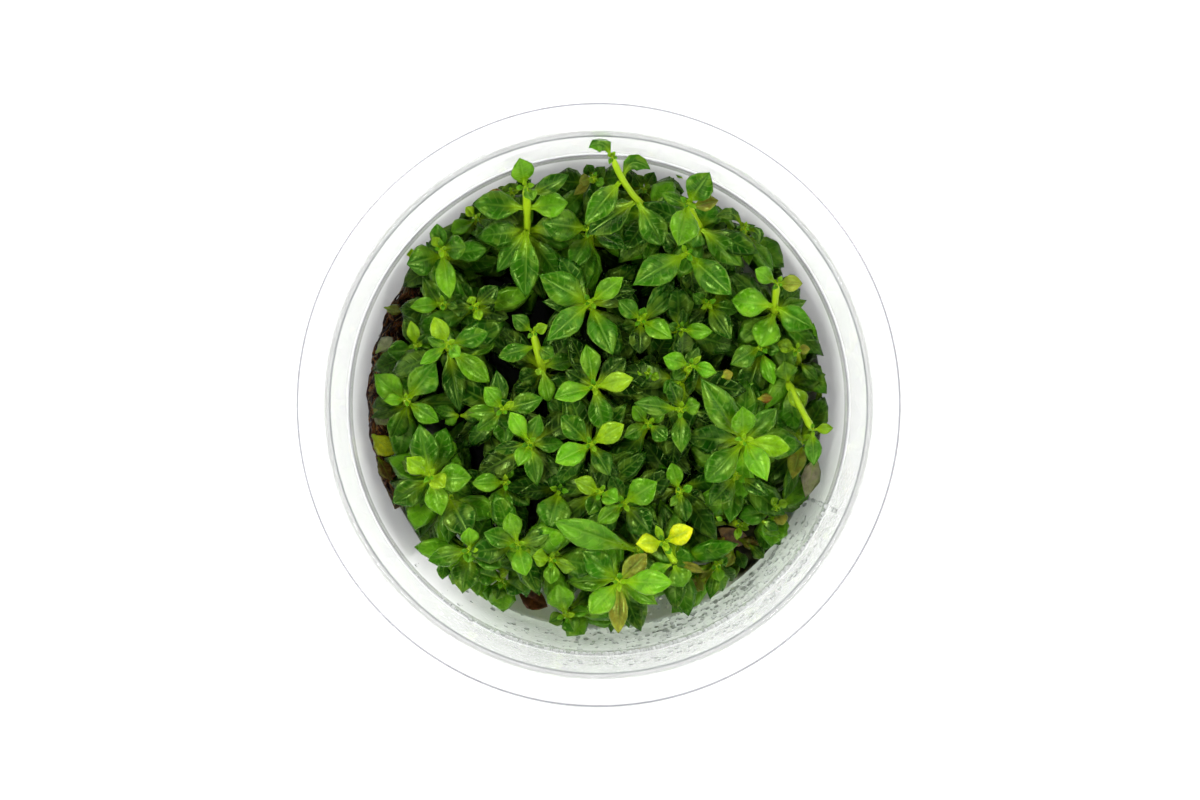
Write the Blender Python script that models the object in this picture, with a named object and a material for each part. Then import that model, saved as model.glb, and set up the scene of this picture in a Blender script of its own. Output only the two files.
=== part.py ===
"""Ludwigia repens raised in a clear culture cup, its young shoots rooted in pale gel.

The model is in metres with +Z up, and its origin is the middle of the cup's foot. Sizes below are in
millimetres. Each shoot is one grown piece, a square stem with its opposite leaf pairs fused to it.
"""

import math
from collections import namedtuple

import bmesh
import bpy
from mathutils import Vector
from mathutils.bvhtree import BVHTree

MM = 0.001
GAP = 0.3

# The cup is a thin moulding turned about Z. Its outline is a list of (radius, height).
SEGMENTS = 40
FIRST_CORNER = math.radians(3)
CUP_INSIDE = [(37.4, 1.2), (38.6, 2.6), (41.6, 37.4), (42.3, 38.0), (44.4, 49.4), (45.0, 50.0)]
CUP_FLANGE = [(50.0, 50.0), (50.0, 49.1), (45.9, 49.1)]
CUP_UPPER_WALL = [(45.3, 48.4), (43.1, 37.6)]
CUP_LOWER_WALL = [(42.4, 37.0), (39.5, 2.0)]
CUP_FOOT = [(37.9, 0.0), (36.6, 0.0), (36.2, 0.45)]
CUP_OUTLINE = CUP_INSIDE + CUP_FLANGE + CUP_UPPER_WALL + CUP_LOWER_WALL + CUP_FOOT
FLAT_SHARE = math.cos(math.pi / SEGMENTS)

# The gel is poured flat and creeps a little way up the wall.
GEL_TOP = 14.0
GEL_WALL_TOP = 14.6
GEL_RIM_RADIUS = 36.5
POCKET_FLOOR = 10.0

# The label is a band round most of the lower wall.
LABEL_START = math.radians(-33)
LABEL_STEPS = 28
LABEL_THICKNESS = 0.25
LABEL_LOW = 4.0
LABEL_HIGH = 36.0
LABEL_CORNER = 2.0

# The root mat is a band of old roots against the wall, on the left.
MAT_START = math.radians(143)
MAT_END = math.radians(207)
MAT_COLUMNS = 16
MAT_LOW = 15.0
MAT_HIGH = 24.6
MAT_WALL_GAP = 0.6
MAT_INNER_RADIUS = 36.8
MAT_BULGE = 2.2
MAT_BULGE_MIDDLE = math.radians(157)
MAT_BULGE_SPREAD = math.radians(12)
MAT_END_SHARE = 0.65
MAT_LUMP = 0.7
MAT_OUTER_DROP = 1.4
MAT_INNER_DROP = 2.2

# A stem is square in section. A leaf pair leaves it from a short stretch round each node.
STEM_HALF = 0.52
STEM_FOOT = POCKET_FLOOR + GAP
STEM_STRAIGHT_TOP = 15.0
NODE_HALF = 0.5
NODE_SHARING = 2.4
APEX_HEIGHT = 0.8

# A leaf bends along its midrib and has a keel below. Each ring is (share of the length, share of the
# width). SMALL_LEAF is the width under which a leaf has fewer rings.
LEAF_RINGS = [(0.16, 0.30), (0.45, 1.0), (0.76, 0.78)]
SMALL_LEAF_RINGS = [(0.22, 0.40), (0.58, 1.0)]
SMALL_LEAF = 3.15
SHORTEST_LEAF = 1.3
KEEL = 0.45
KEEL_SHARE = 0.16
CONTROL_SHARE = 0.45
ARCH = 0.35

# Leaves rise by a slope that falls from the top pair down. Where a leaf would touch what is already
# there, it takes the next slope or length that leaves it clear.
SLOPES = [0.55, 0.30, 0.05, -0.15]
SLOPE_STEPS = [0.0, 0.2, -0.2, 0.4, -0.4, 0.6, -0.6, 0.8]
STEEPEST = 1.3
LOWEST = -0.8
LENGTH_SHARES = [1.0, 0.9, 0.8, 0.65]
WALL_CLEAR = 0.5
HIGHEST_LEAF = 47.6

# Places of the shoots are written as they look from an eye above the cup, on a plane near the leaf
# tops. A place at another height lies on the same line of sight.
EYE = Vector((0.23, 0.81, 650.0))
SEEN_PLANE = 40.0

# Tints of the leaves, from the bright tips down to the shaded ones, and withered ones.
TINTS = {
    "Y": (0.52, 0.60, 0.05),
    "L": (0.26, 0.42, 0.05),
    "G": (0.11, 0.26, 0.02),
    "D": (0.05, 0.14, 0.02),
    "K": (0.03, 0.08, 0.02),
    "O": (0.22, 0.20, 0.05),
    "R": (0.18, 0.08, 0.02),
}

# Each shoot is its foot and its nodes from the top down. A node is (x, y, height, leaf, leaf), and a
# leaf is (tip x, tip y, width, tint) with a sideways bow of its midrib where it has one.
SHOOTS = [
    ((-26.0, 23.0), [
        (-26.4, 26.2, 37.0, (-22.2, 26.6, 3.8, "G"), (-27.9, 28.2, 1.6, "Y")),
        (-26.3, 25.8, 35.6, (-27.2, 30.5, 2.8, "G"), (-25.0, 17.8, 3.3, "L")),
        (-26.2, 25.2, 33.8, (-32.3, 23.6, 4.8, "G"), (-18.6, 26.2, 3.2, "G")),
        (-26.1, 24.6, 31.5, (-29.8, 28.1, 1.2, "D")),
    ]),
    ((-20.2, 28.8), [
        (-20.6, 31.4, 33.0, (-22.4, 33.3, 1.8, "Y"), (-18.6, 29.3, 2.4, "D")),
        (-20.5, 31.0, 31.0, (-24.9, 29.1, 2.8, "L"), (-17.0, 31.6, 2.6, "D")),
    ]),
    ((-14.8, 32.0), [
        (-14.6, 35.6, 33.5, (-15.3, 38.2, 2.6, "D"), (-14.0, 32.9, 2.0, "D")),
        (-14.8, 35.2, 31.5, (-19.1, 35.3, 2.0, "R"), (-11.3, 37.9, 2.2, "D")),
        (-14.9, 34.9, 29.8, (-17.4, 37.2, 1.5, "D")),
    ]),
    ((-12.0, 24.5), [
        (-12.3, 36.6, 42.0, (-13.4, 42.1, 3.6, "Y"), (-10.9, 34.4, 2.2, "L")),
        (-12.1, 35.0, 40.3, (-5.0, 38.7, 2.7, "D")),
        (-12.0, 33.1, 38.3, (-21.2, 33.9, 4.4, "G"), (-5.1, 34.0, 4.3, "L")),
        (-12.0, 29.6, 34.8, (-17.2, 22.2, 3.4, "G"), (-12.3, 18.0, 4.7, "G")),
    ]),
    ((-1.0, 25.5), [
        (-1.6, 29.6, 34.5, (-9.6, 30.6, 5.0, "G"), (4.6, 26.4, 3.0, "D")),
        (-1.5, 29.0, 32.0, (-4.6, 22.9, 3.6, "G"), (0.6, 34.5, 3.0, "K")),
    ]),
    ((-1.5, 34.5), [
        (-0.9, 38.2, 34.5, (0.9, 37.0, 1.5, "L"), (-3.3, 37.5, 2.0, "O")),
        (-1.0, 38.0, 33.0, (-2.2, 40.7, 2.0, "D"), (-4.3, 35.2, 1.5, "O")),
        (-1.0, 37.6, 31.4, (1.3, 40.4, 2.0, "D")),
    ]),
    ((11.0, 29.0), [
        (2.3, 41.6, 45.0, (-2.7, 43.6, 2.8, "G", -1.8)),
        (3.8, 37.8, 41.8, (11.4, 40.5, 2.9, "G", 3.3), (-2.4, 30.2, 3.8, "G")),
        (6.4, 34.3, 38.4, (-2.0, 28.6, 5.2, "D"), (10.9, 26.7, 4.4, "G")),
        (8.6, 32.6, 36.0, (12.7, 38.2, 3.4, "D")),
    ]),
    ((7.0, 34.8), [
        (7.6, 36.2, 32.0, (5.9, 38.8, 2.2, "D"), (9.8, 39.9, 2.2, "D")),
        (7.5, 36.2, 30.0, (11.9, 35.0, 2.8, "K")),
    ]),
    ((18.0, 27.5), [
        (15.0, 33.8, 42.0, (19.1, 39.7, 4.3, "G"), (13.4, 26.6, 4.8, "L")),
        (15.3, 33.2, 40.4, (20.2, 34.4, 3.0, "O"), (10.6, 35.6, 2.0, "G")),
        (17.0, 29.8, 37.0, (24.3, 23.2, 4.0, "G"), (15.8, 26.4, 3.2, "D")),
    ]),
    ((23.4, 26.2), [
        (24.5, 29.6, 35.5, (19.4, 31.3, 1.9, "D", -1.7), (26.9, 27.0, 1.9, "D", 1.0)),
        (24.4, 28.9, 33.3, (29.4, 22.4, 2.7, "G"), (25.3, 23.4, 2.1, "L")),
    ]),
    ((30.2, 14.8), [
        (30.0, 20.4, 39.5, (26.3, 22.8, 2.7, "L"), (34.3, 20.4, 2.6, "O")),
        (29.6, 16.6, 36.8, (22.3, 17.7, 4.5, "L"), (36.2, 12.9, 4.3, "G")),
        (29.6, 15.6, 34.5, (27.1, 9.6, 4.5, "L"), (35.0, 17.6, 2.6, "G")),
    ]),
    ((15.2, 23.5), [
        (14.8, 25.4, 36.5, (5.7, 20.1, 5.0, "G"), (22.4, 18.5, 4.6, "G")),
        (14.9, 24.9, 33.0, (20.4, 27.3, 3.0, "K"), (10.2, 29.6, 3.4, "D")),
        (15.0, 24.3, 29.5, (16.2, 18.6, 3.0, "K")),
    ]),
    ((27.0, 9.0), [
        (27.4, 9.9, 32.5, (22.1, 6.7, 3.5, "G"), (30.5, 9.2, 2.4, "G")),
        (27.3, 9.2, 30.5, (29.5, 3.2, 2.6, "L"), (23.4, 14.2, 3.2, "K")),
        (27.2, 8.8, 28.0, (24.5, 0.6, 4.6, "D"), (22.0, 10.2, 3.2, "D")),
    ]),
    ((33.6, 6.4), [
        (33.2, 9.2, 32.0, (30.0, 10.3, 2.4, "Y"), (35.6, 9.4, 1.6, "O")),
        (33.6, 7.2, 29.5, (34.9, 8.8, 1.0, "Y"), (36.9, 4.0, 2.2, "G")),
    ]),
    ((31.0, 4.6), [
        (35.9, -4.2, 37.0, (39.5, -3.9, 1.7, "Y"), (36.2, -10.3, 2.6, "G")),
        (31.9, 3.6, 31.5, (31.2, 7.4, 3.4, "L"), (34.5, -1.0, 3.2, "Y")),
    ]),
    ((13.7, 3.0), [
        (15.4, 6.6, 38.0, (19.9, 5.4, 2.6, "L"), (10.8, 8.0, 3.0, "L")),
        (15.1, 6.2, 36.4, (17.3, 8.3, 0.9, "Y"), (12.5, 4.5, 2.4, "G")),
        (14.0, 4.2, 34.2, (10.8, 2.0, 2.6, "G"), (16.9, 9.9, 2.6, "D")),
    ]),
    ((13.7, 11.6), [
        (13.9, 12.6, 35.0, (19.2, 12.3, 2.6, "L"), (11.6, 13.5, 1.5, "G")),
        (13.8, 12.3, 33.0, (14.2, 16.3, 1.7, "D"), (14.3, 9.4, 2.0, "D")),
    ]),
    ((18.4, 16.0), [
        (18.4, 16.9, 32.0, (22.3, 10.9, 3.3, "D"), (15.8, 18.6, 2.1, "G")),
        (18.5, 16.7, 29.5, (23.7, 15.9, 2.6, "G"), (15.1, 13.6, 2.2, "K")),
    ]),
    ((7.6, 13.0), [
        (7.1, 14.3, 36.0, (3.3, 17.6, 2.9, "G"), (12.4, 11.1, 3.5, "L")),
        (7.0, 14.0, 34.0, (7.8, 16.4, 1.4, "L"), (6.9, 8.5, 3.4, "K")),
        (7.1, 13.7, 31.5, (13.0, 19.1, 3.0, "D"), (3.8, 12.9, 2.4, "D")),
    ]),
    ((-1.6, 16.0), [
        (-1.4, 17.3, 39.0, (4.2, 21.5, 3.1, "L"), (-8.8, 10.7, 3.9, "G")),
        (-1.5, 17.0, 37.0, (-10.1, 21.9, 5.3, "G"), (2.4, 8.3, 5.2, "G")),
        (-1.5, 16.6, 33.5, (6.4, 19.4, 3.2, "K"), (-9.6, 17.4, 2.8, "D")),
    ]),
    ((-9.2, 4.8), [
        (-11.0, 12.2, 39.5, (-14.6, 15.1, 2.6, "G"), (-8.5, 13.4, 1.8, "Y")),
        (-10.5, 9.9, 37.8, (-16.9, 8.0, 2.8, "G"), (-7.5, 8.1, 2.5, "G")),
        (-9.6, 6.6, 36.3, (-10.3, 4.9, 1.2, "Y"), (-8.7, 8.2, 1.4, "Y")),
        (-9.5, 6.3, 35.0, (-8.2, 0.4, 2.8, "L"), (-4.1, 7.8, 3.0, "G")),
        (-9.4, 5.8, 33.2, (-13.4, 4.0, 3.2, "D")),
    ]),
    ((-20.6, 15.4), [
        (-20.8, 16.6, 36.0, (-21.7, 18.2, 1.6, "Y"), (-19.9, 14.2, 1.8, "Y")),
        (-20.8, 16.4, 33.6, (-16.9, 20.0, 3.0, "D"), (-25.0, 16.2, 2.8, "D")),
        (-20.7, 16.1, 31.0, (-15.0, 14.6, 3.3, "K"), (-24.2, 20.9, 2.8, "D")),
    ]),
    ((-26.0, 14.0), [
        (-26.2, 17.1, 34.0, (-31.8, 16.4, 2.5, "L"), (-23.6, 16.4, 1.4, "D")),
        (-26.0, 15.6, 31.5, (-29.6, 21.6, 3.0, "G"), (-22.9, 18.6, 2.2, "D")),
    ]),
    ((-30.2, 8.9), [
        (-30.7, 9.9, 33.0, (-31.6, 14.2, 2.0, "Y"), (-28.6, 11.9, 1.6, "D")),
        (-30.3, 9.2, 31.0, (-35.7, 9.0, 3.2, "G"), (-33.0, 5.9, 1.8, "D")),
        (-30.3, 9.0, 29.0, (-32.8, 15.1, 2.4, "D")),
    ]),
    ((-25.4, 8.4), [
        (-25.4, 10.3, 39.0, (-27.7, 14.8, 2.9, "Y"), (-23.3, 8.1, 2.3, "L")),
        (-25.4, 10.0, 37.4, (-30.1, 6.8, 2.0, "L"), (-18.4, 12.2, 3.3, "G")),
        (-25.3, 9.7, 35.6, (-18.3, 3.8, 3.5, "L"), (-28.9, 11.4, 2.0, "G")),
        (-25.3, 9.4, 33.8, (-23.3, -1.4, 3.7, "D")),
    ]),
    ((-31.4, 0.4), [
        (-32.2, 0.9, 34.5, (-36.2, 0.7, 2.1, "L"), (-27.3, 7.2, 4.8, "G")),
        (-32.2, 0.5, 32.8, (-26.8, -2.9, 3.1, "L"), (-37.8, 5.2, 4.0, "L")),
        (-32.2, 0.2, 31.0, (-34.8, -5.8, 3.5, "G"), (-34.2, 5.7, 2.8, "G")),
        (-32.2, 0.0, 29.0, (-38.4, -2.2, 2.0, "D")),
    ]),
    ((-15.6, -0.2), [
        (-16.0, -0.8, 38.0, (-19.2, 3.0, 3.1, "L"), (-14.2, 0.6, 1.2, "Y")),
        (-16.0, -0.9, 36.4, (-20.7, -4.5, 2.7, "G"), (-9.2, 1.2, 3.3, "G")),
        (-16.0, -1.0, 34.6, (-15.8, -6.8, 3.3, "G"), (-17.2, 5.9, 2.9, "D")),
        (-15.9, -1.0, 32.4, (-22.4, -1.4, 2.6, "L")),
    ]),
    ((-11.3, -6.0), [
        (-11.7, -6.3, 39.0, (-14.9, -1.2, 2.9, "L"), (-13.6, -10.4, 2.7, "L")),
        (-11.6, -6.5, 37.4, (-9.9, -1.5, 2.7, "G"), (-17.7, -7.6, 2.1, "D")),
        (-11.5, -6.7, 35.8, (-5.8, -6.5, 2.7, "G"), (-10.3, -13.8, 2.9, "G")),
    ]),
    ((-1.2, -6.0), [
        (-1.2, -6.6, 39.0, (4.3, -3.3, 3.3, "Y"), (-7.3, -9.7, 3.7, "L")),
        (-1.3, -6.7, 37.2, (-6.4, -1.8, 3.7, "G"), (1.9, -12.0, 3.5, "D")),
    ]),
    ((-0.6, 3.4), [
        (-0.7, 3.0, 40.0, (5.9, 4.5, 3.1, "Y"), (-7.5, 1.1, 3.7, "L")),
        (-0.8, 3.0, 38.2, (-2.1, 10.2, 3.5, "L"), (1.1, -4.5, 3.9, "G")),
        (-0.7, 3.1, 35.0, (4.6, 8.0, 3.4, "K"), (-5.8, 5.9, 2.6, "K")),
    ]),
    ((8.6, 6.4), [
        (8.3, 5.3, 33.0, (6.5, 5.6, 1.5, "Y"), (10.2, 4.4, 1.5, "Y")),
        (8.4, 5.8, 30.5, (8.8, 8.6, 2.2, "K"), (6.2, 2.8, 2.2, "D")),
    ]),
    ((13.4, -0.4), [
        (13.8, -0.8, 38.0, (5.9, 0.3, 3.1, "G"), (17.1, 0.1, 2.7, "L")),
        (13.8, -1.0, 36.0, (13.9, -8.2, 3.1, "G"), (12.0, 4.1, 2.8, "D")),
        (13.7, -1.0, 33.8, (19.4, -3.6, 2.8, "K")),
    ]),
    ((8.6, -3.9), [
        (8.3, -3.1, 36.0, (5.7, -0.2, 2.6, "L"), (11.5, -5.9, 2.8, "G")),
        (8.3, -3.3, 34.4, (11.1, -1.1, 2.0, "L"), (4.2, -5.5, 2.6, "G")),
        (8.4, -3.5, 32.0, (3.4, -2.3, 2.4, "K")),
    ]),
    ((13.4, -13.6), [
        (13.6, -14.7, 35.5, (15.8, -13.7, 1.3, "L"), (12.0, -17.1, 1.4, "L")),
        (13.5, -14.4, 33.0, (12.2, -9.7, 2.6, "L"), (14.8, -19.7, 2.8, "D")),
        (13.5, -14.1, 30.6, (7.9, -10.2, 3.3, "G"), (18.0, -16.5, 2.6, "K")),
    ]),
    ((24.4, -4.9), [
        (24.4, -5.8, 41.0, (24.2, -0.2, 4.1, "L"), (28.4, -12.9, 3.9, "L")),
        (24.3, -6.1, 39.4, (17.1, 4.6, 4.9, "G"), (32.3, -7.4, 3.4, "Y")),
        (24.3, -6.3, 37.6, (17.9, -13.0, 4.5, "G"), (30.0, -0.5, 3.3, "G")),
        (24.3, -6.2, 34.0, (15.6, -5.6, 4.6, "K")),
    ]),
    ((33.6, -7.0), [
        (34.2, -5.9, 28.0, (30.1, -0.9, 4.1, "D"), (32.6, -12.5, 2.9, "O")),
        (34.0, -6.4, 26.0, (31.3, -15.9, 2.6, "G")),
    ]),
    ((29.2, -18.0), [
        (29.9, -17.2, 31.0, (29.2, -15.6, 1.5, "Y"), (31.7, -16.2, 1.5, "Y")),
        (29.8, -17.6, 29.0, (23.5, -18.9, 3.3, "G"), (31.1, -20.2, 2.3, "O")),
        (29.6, -17.8, 27.0, (24.4, -15.7, 3.1, "D"), (27.8, -22.0, 2.7, "L")),
    ]),
    ((20.9, -19.6), [
        (23.7, -20.1, 28.0, (25.7, -19.6, 1.2, "Y"), (23.2, -22.8, 1.3, "Y")),
        (23.2, -20.0, 26.6, (25.3, -21.0, 1.1, "Y")),
    ]),
    ((19.6, -25.8), [
        (19.9, -26.8, 31.0, (17.9, -24.1, 2.3, "G"), (20.4, -29.8, 2.0, "L")),
        (19.7, -27.2, 29.0, (21.7, -25.6, 1.7, "G"), (18.7, -32.8, 2.4, "G")),
        (19.6, -27.0, 26.5, (16.6, -30.6, 2.2, "O")),
    ]),
    ((13.0, -25.2), [
        (11.0, -23.1, 39.8, (15.9, -20.8, 3.3, "Y"), (6.2, -23.4, 3.3, "Y")),
        (11.1, -23.6, 38.4, (9.6, -20.2, 1.3, "Y"), (12.1, -25.1, 1.2, "L")),
        (12.6, -26.7, 35.6, (14.3, -30.7, 3.9, "L"), (8.3, -28.3, 2.3, "L")),
        (12.8, -26.2, 33.0, (17.9, -28.2, 1.6, "O"), (10.7, -16.4, 3.5, "D")),
    ]),
    ((4.6, -17.2), [
        (4.2, -16.5, 38.0, (9.9, -12.9, 4.3, "L"), (-0.3, -19.9, 2.9, "L")),
        (4.3, -16.7, 35.6, (8.7, -21.6, 4.7, "D"), (2.1, -11.8, 2.7, "D")),
    ]),
    ((-0.4, -13.6), [
        (0.3, -14.7, 39.5, (-4.1, -12.6, 2.9, "Y"), (3.3, -16.3, 3.1, "L")),
        (0.1, -14.5, 36.6, (-1.7, -18.6, 2.7, "G")),
    ]),
    ((6.9, -23.2), [
        (6.6, -24.5, 36.0, (-7.6, -19.5, 4.5, "L")),
        (6.7, -24.2, 33.5, (7.6, -18.2, 3.4, "K"), (10.0, -31.9, 3.2, "D")),
    ]),
    ((3.6, -28.4), [
        (3.5, -29.7, 41.0, (12.5, -29.9, 3.9, "L"), (-1.6, -35.2, 3.9, "Y")),
        (3.4, -29.6, 39.4, (8.1, -25.0, 3.3, "O"), (3.3, -38.5, 2.9, "O")),
        (3.3, -29.5, 37.8, (-2.9, -24.5, 4.3, "G"), (10.0, -33.6, 2.7, "L")),
        (3.3, -29.4, 35.8, (-5.5, -29.7, 3.1, "L"), (7.5, -37.2, 4.3, "D")),
    ]),
    ((-7.8, -25.0), [
        (-7.9, -26.0, 39.0, (-11.2, -25.5, 2.8, "Y"), (-3.8, -27.6, 2.6, "Y")),
        (-7.9, -26.0, 37.3, (-7.7, -21.2, 2.5, "G"), (-8.0, -30.2, 2.6, "L")),
    ]),
    ((-13.8, -22.6), [
        (-13.6, -23.4, 39.5, (-15.0, -18.1, 3.0, "L"), (-12.2, -28.8, 3.4, "L")),
        (-13.6, -23.5, 38.0, (-19.4, -21.5, 3.3, "G"), (-8.1, -21.4, 2.7, "D")),
    ]),
    ((-21.4, -23.6), [
        (-21.6, -24.4, 38.0, (-21.8, -20.6, 2.9, "L"), (-22.0, -26.6, 1.9, "L")),
        (-21.7, -24.5, 36.4, (-28.7, -26.2, 3.3, "G"), (-16.2, -27.3, 3.9, "G")),
        (-21.8, -24.7, 34.0, (-22.9, -31.8, 4.5, "G")),
    ]),
    ((-16.4, -28.6), [
        (-16.2, -29.4, 31.5, (-20.8, -28.0, 3.1, "G"), (-12.5, -31.4, 3.1, "D")),
        (-16.2, -29.6, 29.5, (-17.2, -32.8, 2.4, "D")),
    ]),
    ((-6.4, -13.6), [
        (-6.6, -14.2, 34.5, (-8.2, -20.8, 5.3, "G")),
        (-6.6, -14.0, 32.0, (-13.3, -14.8, 2.6, "K"), (-3.9, -18.9, 2.6, "K")),
    ]),
    ((-27.6, -11.8), [
        (-28.4, -11.9, 38.0, (-32.3, -8.8, 3.3, "Y"), (-25.8, -13.9, 3.1, "Y")),
        (-28.2, -12.3, 36.4, (-26.4, -18.7, 3.7, "L"), (-21.3, -12.2, 4.5, "L")),
        (-28.2, -12.4, 34.8, (-34.7, -16.6, 4.3, "G"), (-30.2, -3.2, 4.5, "G")),
        (-28.2, -12.4, 32.4, (-30.0, -22.5, 3.9, "D"), (-33.5, -8.7, 2.8, "D")),
    ]),
    ((-24.6, -16.2), [
        (-25.1, -15.4, 34.5, (-24.8, -14.5, 1.0, "L"), (-21.8, -21.9, 5.1, "D")),
        (-25.0, -15.8, 32.4, (-25.3, -23.4, 2.9, "G")),
    ]),
    ((-15.8, -13.4), [
        (-15.6, -13.0, 34.0, (-21.4, -13.2, 2.9, "L"), (-14.9, -10.2, 1.7, "L")),
        (-15.6, -13.2, 31.8, (-17.3, -19.5, 3.9, "G"), (-11.6, -16.9, 3.2, "D")),
    ]),
    ((-5.2, -34.0), [
        (-5.5, -35.4, 33.5, (-7.0, -30.0, 4.3, "L"), (-4.0, -38.3, 2.9, "G")),
        (-5.4, -35.1, 32.0, (-1.5, -34.6, 2.0, "L"), (-8.4, -36.6, 2.3, "D")),
    ]),
    ((23.0, -12.6), [
        (23.3, -11.9, 33.5, (18.5, -17.0, 3.7, "D"), (28.7, -15.4, 2.8, "D")),
        (23.2, -12.1, 31.0, (22.0, -19.9, 3.3, "G")),
    ]),
]

# A withered leaf is (start, tip, width, keel, sag), with each end as (x, y, height).
OLD_LEAVES = [
    ((-14.4, -32.5, 15.6), (-8.9, -35.4, 15.8), 3.6, 0.4, 0.5),
    ((27.0, -24.6, 15.2), (20.6, -21.4, 21.6), 3.2, 0.5, 1.6),
]
OLD_LEAF_RINGS = [(0.14, 0.55), (0.38, 1.0), (0.64, 0.85), (0.86, 0.5)]

Leaf = namedtuple("Leaf", "shoot segment side base node tip width tint bow level")


def place(seen_x, seen_y, height):
    """The point at this height on the line from the eye through (seen_x, seen_y) on the seen plane."""
    share = (EYE.z - height) / (EYE.z - SEEN_PLANE)
    return Vector((EYE.x + (seen_x - EYE.x) * share, EYE.y + (seen_y - EYE.y) * share, height))


def on_outline(outline, height):
    """Radius of a rising or falling (radius, height) outline at this height."""
    steps = sorted((high, radius) for radius, high in outline)
    for (low_z, low_r), (high_z, high_r) in zip(steps, steps[1:]):
        if height <= high_z:
            share = (height - low_z) / (high_z - low_z)
            return low_r + (high_r - low_r) * share
    return steps[-1][1]


def polar(radius, angle, height):
    return Vector((radius * math.cos(angle), radius * math.sin(angle), height))


def material(name, colour, roughness, alpha=1.0, transmission=0.0):
    made = bpy.data.materials.new(name)
    made.use_nodes = True
    shader = made.node_tree.nodes["Principled BSDF"]
    shader.inputs["Base Color"].default_value = (*colour, 1.0)
    shader.inputs["Roughness"].default_value = roughness
    shader.inputs["Metallic"].default_value = 0.0
    shader.inputs["Alpha"].default_value = alpha
    shader.inputs["Transmission Weight"].default_value = transmission
    return made


def add_object(name, bm, finish, origin=Vector((0.0, 0.0, 0.0))):
    """Turn a bmesh in millimetres into an object whose own origin is at this point."""
    bmesh.ops.translate(bm, verts=bm.verts, vec=-origin)
    bmesh.ops.scale(bm, verts=bm.verts, vec=(MM, MM, MM))
    bmesh.ops.recalc_face_normals(bm, faces=bm.faces)
    mesh = bpy.data.meshes.new(name)
    bm.to_mesh(mesh)
    bm.free()
    mesh.materials.append(finish)
    made = bpy.data.objects.new(name, mesh)
    made.location = origin * MM
    bpy.context.scene.collection.objects.link(made)
    return made


def from_faces(points, faces):
    bm = bmesh.new()
    verts = [bm.verts.new(point) for point in points]
    for face in faces:
        bm.faces.new([verts[index] for index in face])
    return bm


def turned(outline):
    """A (radius, height) outline spun about Z, with a flat face at each end."""
    bm = bmesh.new()
    verts = [bm.verts.new(polar(radius, FIRST_CORNER, height)) for radius, height in outline]
    edges = [bm.edges.new(pair) for pair in zip(verts, verts[1:])]
    bmesh.ops.spin(bm, geom=verts + edges, cent=(0, 0, 0), axis=(0, 0, 1), angle=2 * math.pi,
                   steps=SEGMENTS, use_merge=True)
    bmesh.ops.holes_fill(bm, edges=bm.edges, sides=SEGMENTS)
    return bm


def ring_strip(columns, ring_size):
    """Faces of a solid made of equal rings of points, one after another, with both ends closed."""
    faces = [tuple(range(ring_size))]
    for column in range(columns - 1):
        for index in range(ring_size):
            following = (index + 1) % ring_size
            near = column * ring_size
            far = near + ring_size
            faces.append((near + index, far + index, far + following, near + following))
    last = (columns - 1) * ring_size
    faces.append(tuple(range(last, last + ring_size)))
    return faces


def make_cup():
    finish = material("clear plastic", (0.93, 0.95, 0.93), 0.08, alpha=0.3, transmission=0.9)
    cup = add_object("cup", turned(CUP_OUTLINE), finish)
    cup.data.shade_smooth()
    cup.data.set_sharp_from_angle(angle=math.radians(25))


def make_label():
    """A band that follows the cone of the lower wall, with its corners cut off."""
    points = []
    for column in range(LABEL_STEPS + 1):
        angle = LABEL_START + 2 * math.pi / SEGMENTS * column
        trim = LABEL_CORNER if column in (0, LABEL_STEPS) else 0.0
        low = LABEL_LOW + trim
        high = LABEL_HIGH - trim
        for height, offset in ((low, 0.0), (high, 0.0), (high, LABEL_THICKNESS), (low, LABEL_THICKNESS)):
            radius = on_outline(CUP_LOWER_WALL, height) + GAP + offset
            points.append(polar(radius, angle, height))
    bm = from_faces(points, ring_strip(LABEL_STEPS + 1, 4))
    add_object("label", bm, material("label film", (0.68, 0.69, 0.67), 0.55))


def make_gel(stems):
    """A poured disc that stands off the cup by the gap, with a pocket round each stem's foot."""
    outline = [
        (CUP_INSIDE[0][0] - GAP / 2, CUP_INSIDE[0][1] + GAP),
        (CUP_INSIDE[1][0] - GAP, CUP_INSIDE[1][1] + GAP / 2),
        (on_outline(CUP_INSIDE, GEL_WALL_TOP) - GAP, GEL_WALL_TOP),
        (GEL_RIM_RADIUS, GEL_TOP),
    ]
    finish = material("nutrient gel", (0.66, 0.66, 0.56), 0.25, alpha=0.5, transmission=0.6)
    gel = add_object("gel", turned(outline), finish)
    points = []
    faces = []
    for stem in stems:
        start = len(points)
        for height in (POCKET_FLOOR, GEL_WALL_TOP + 1.0):
            points.extend(stem.square(stem.foot, height, STEM_HALF + GAP))
        faces.extend([tuple(start + index for index in face) for face in ring_strip(2, 4)])
    cutter = add_object("stem_pockets", from_faces(points, faces), finish)
    cutter.hide_render = True
    cutter.display_type = "WIRE"
    cut = gel.modifiers.new("pockets", "BOOLEAN")
    cut.operation = "DIFFERENCE"
    cut.solver = "EXACT"
    cut.object = cutter


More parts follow.
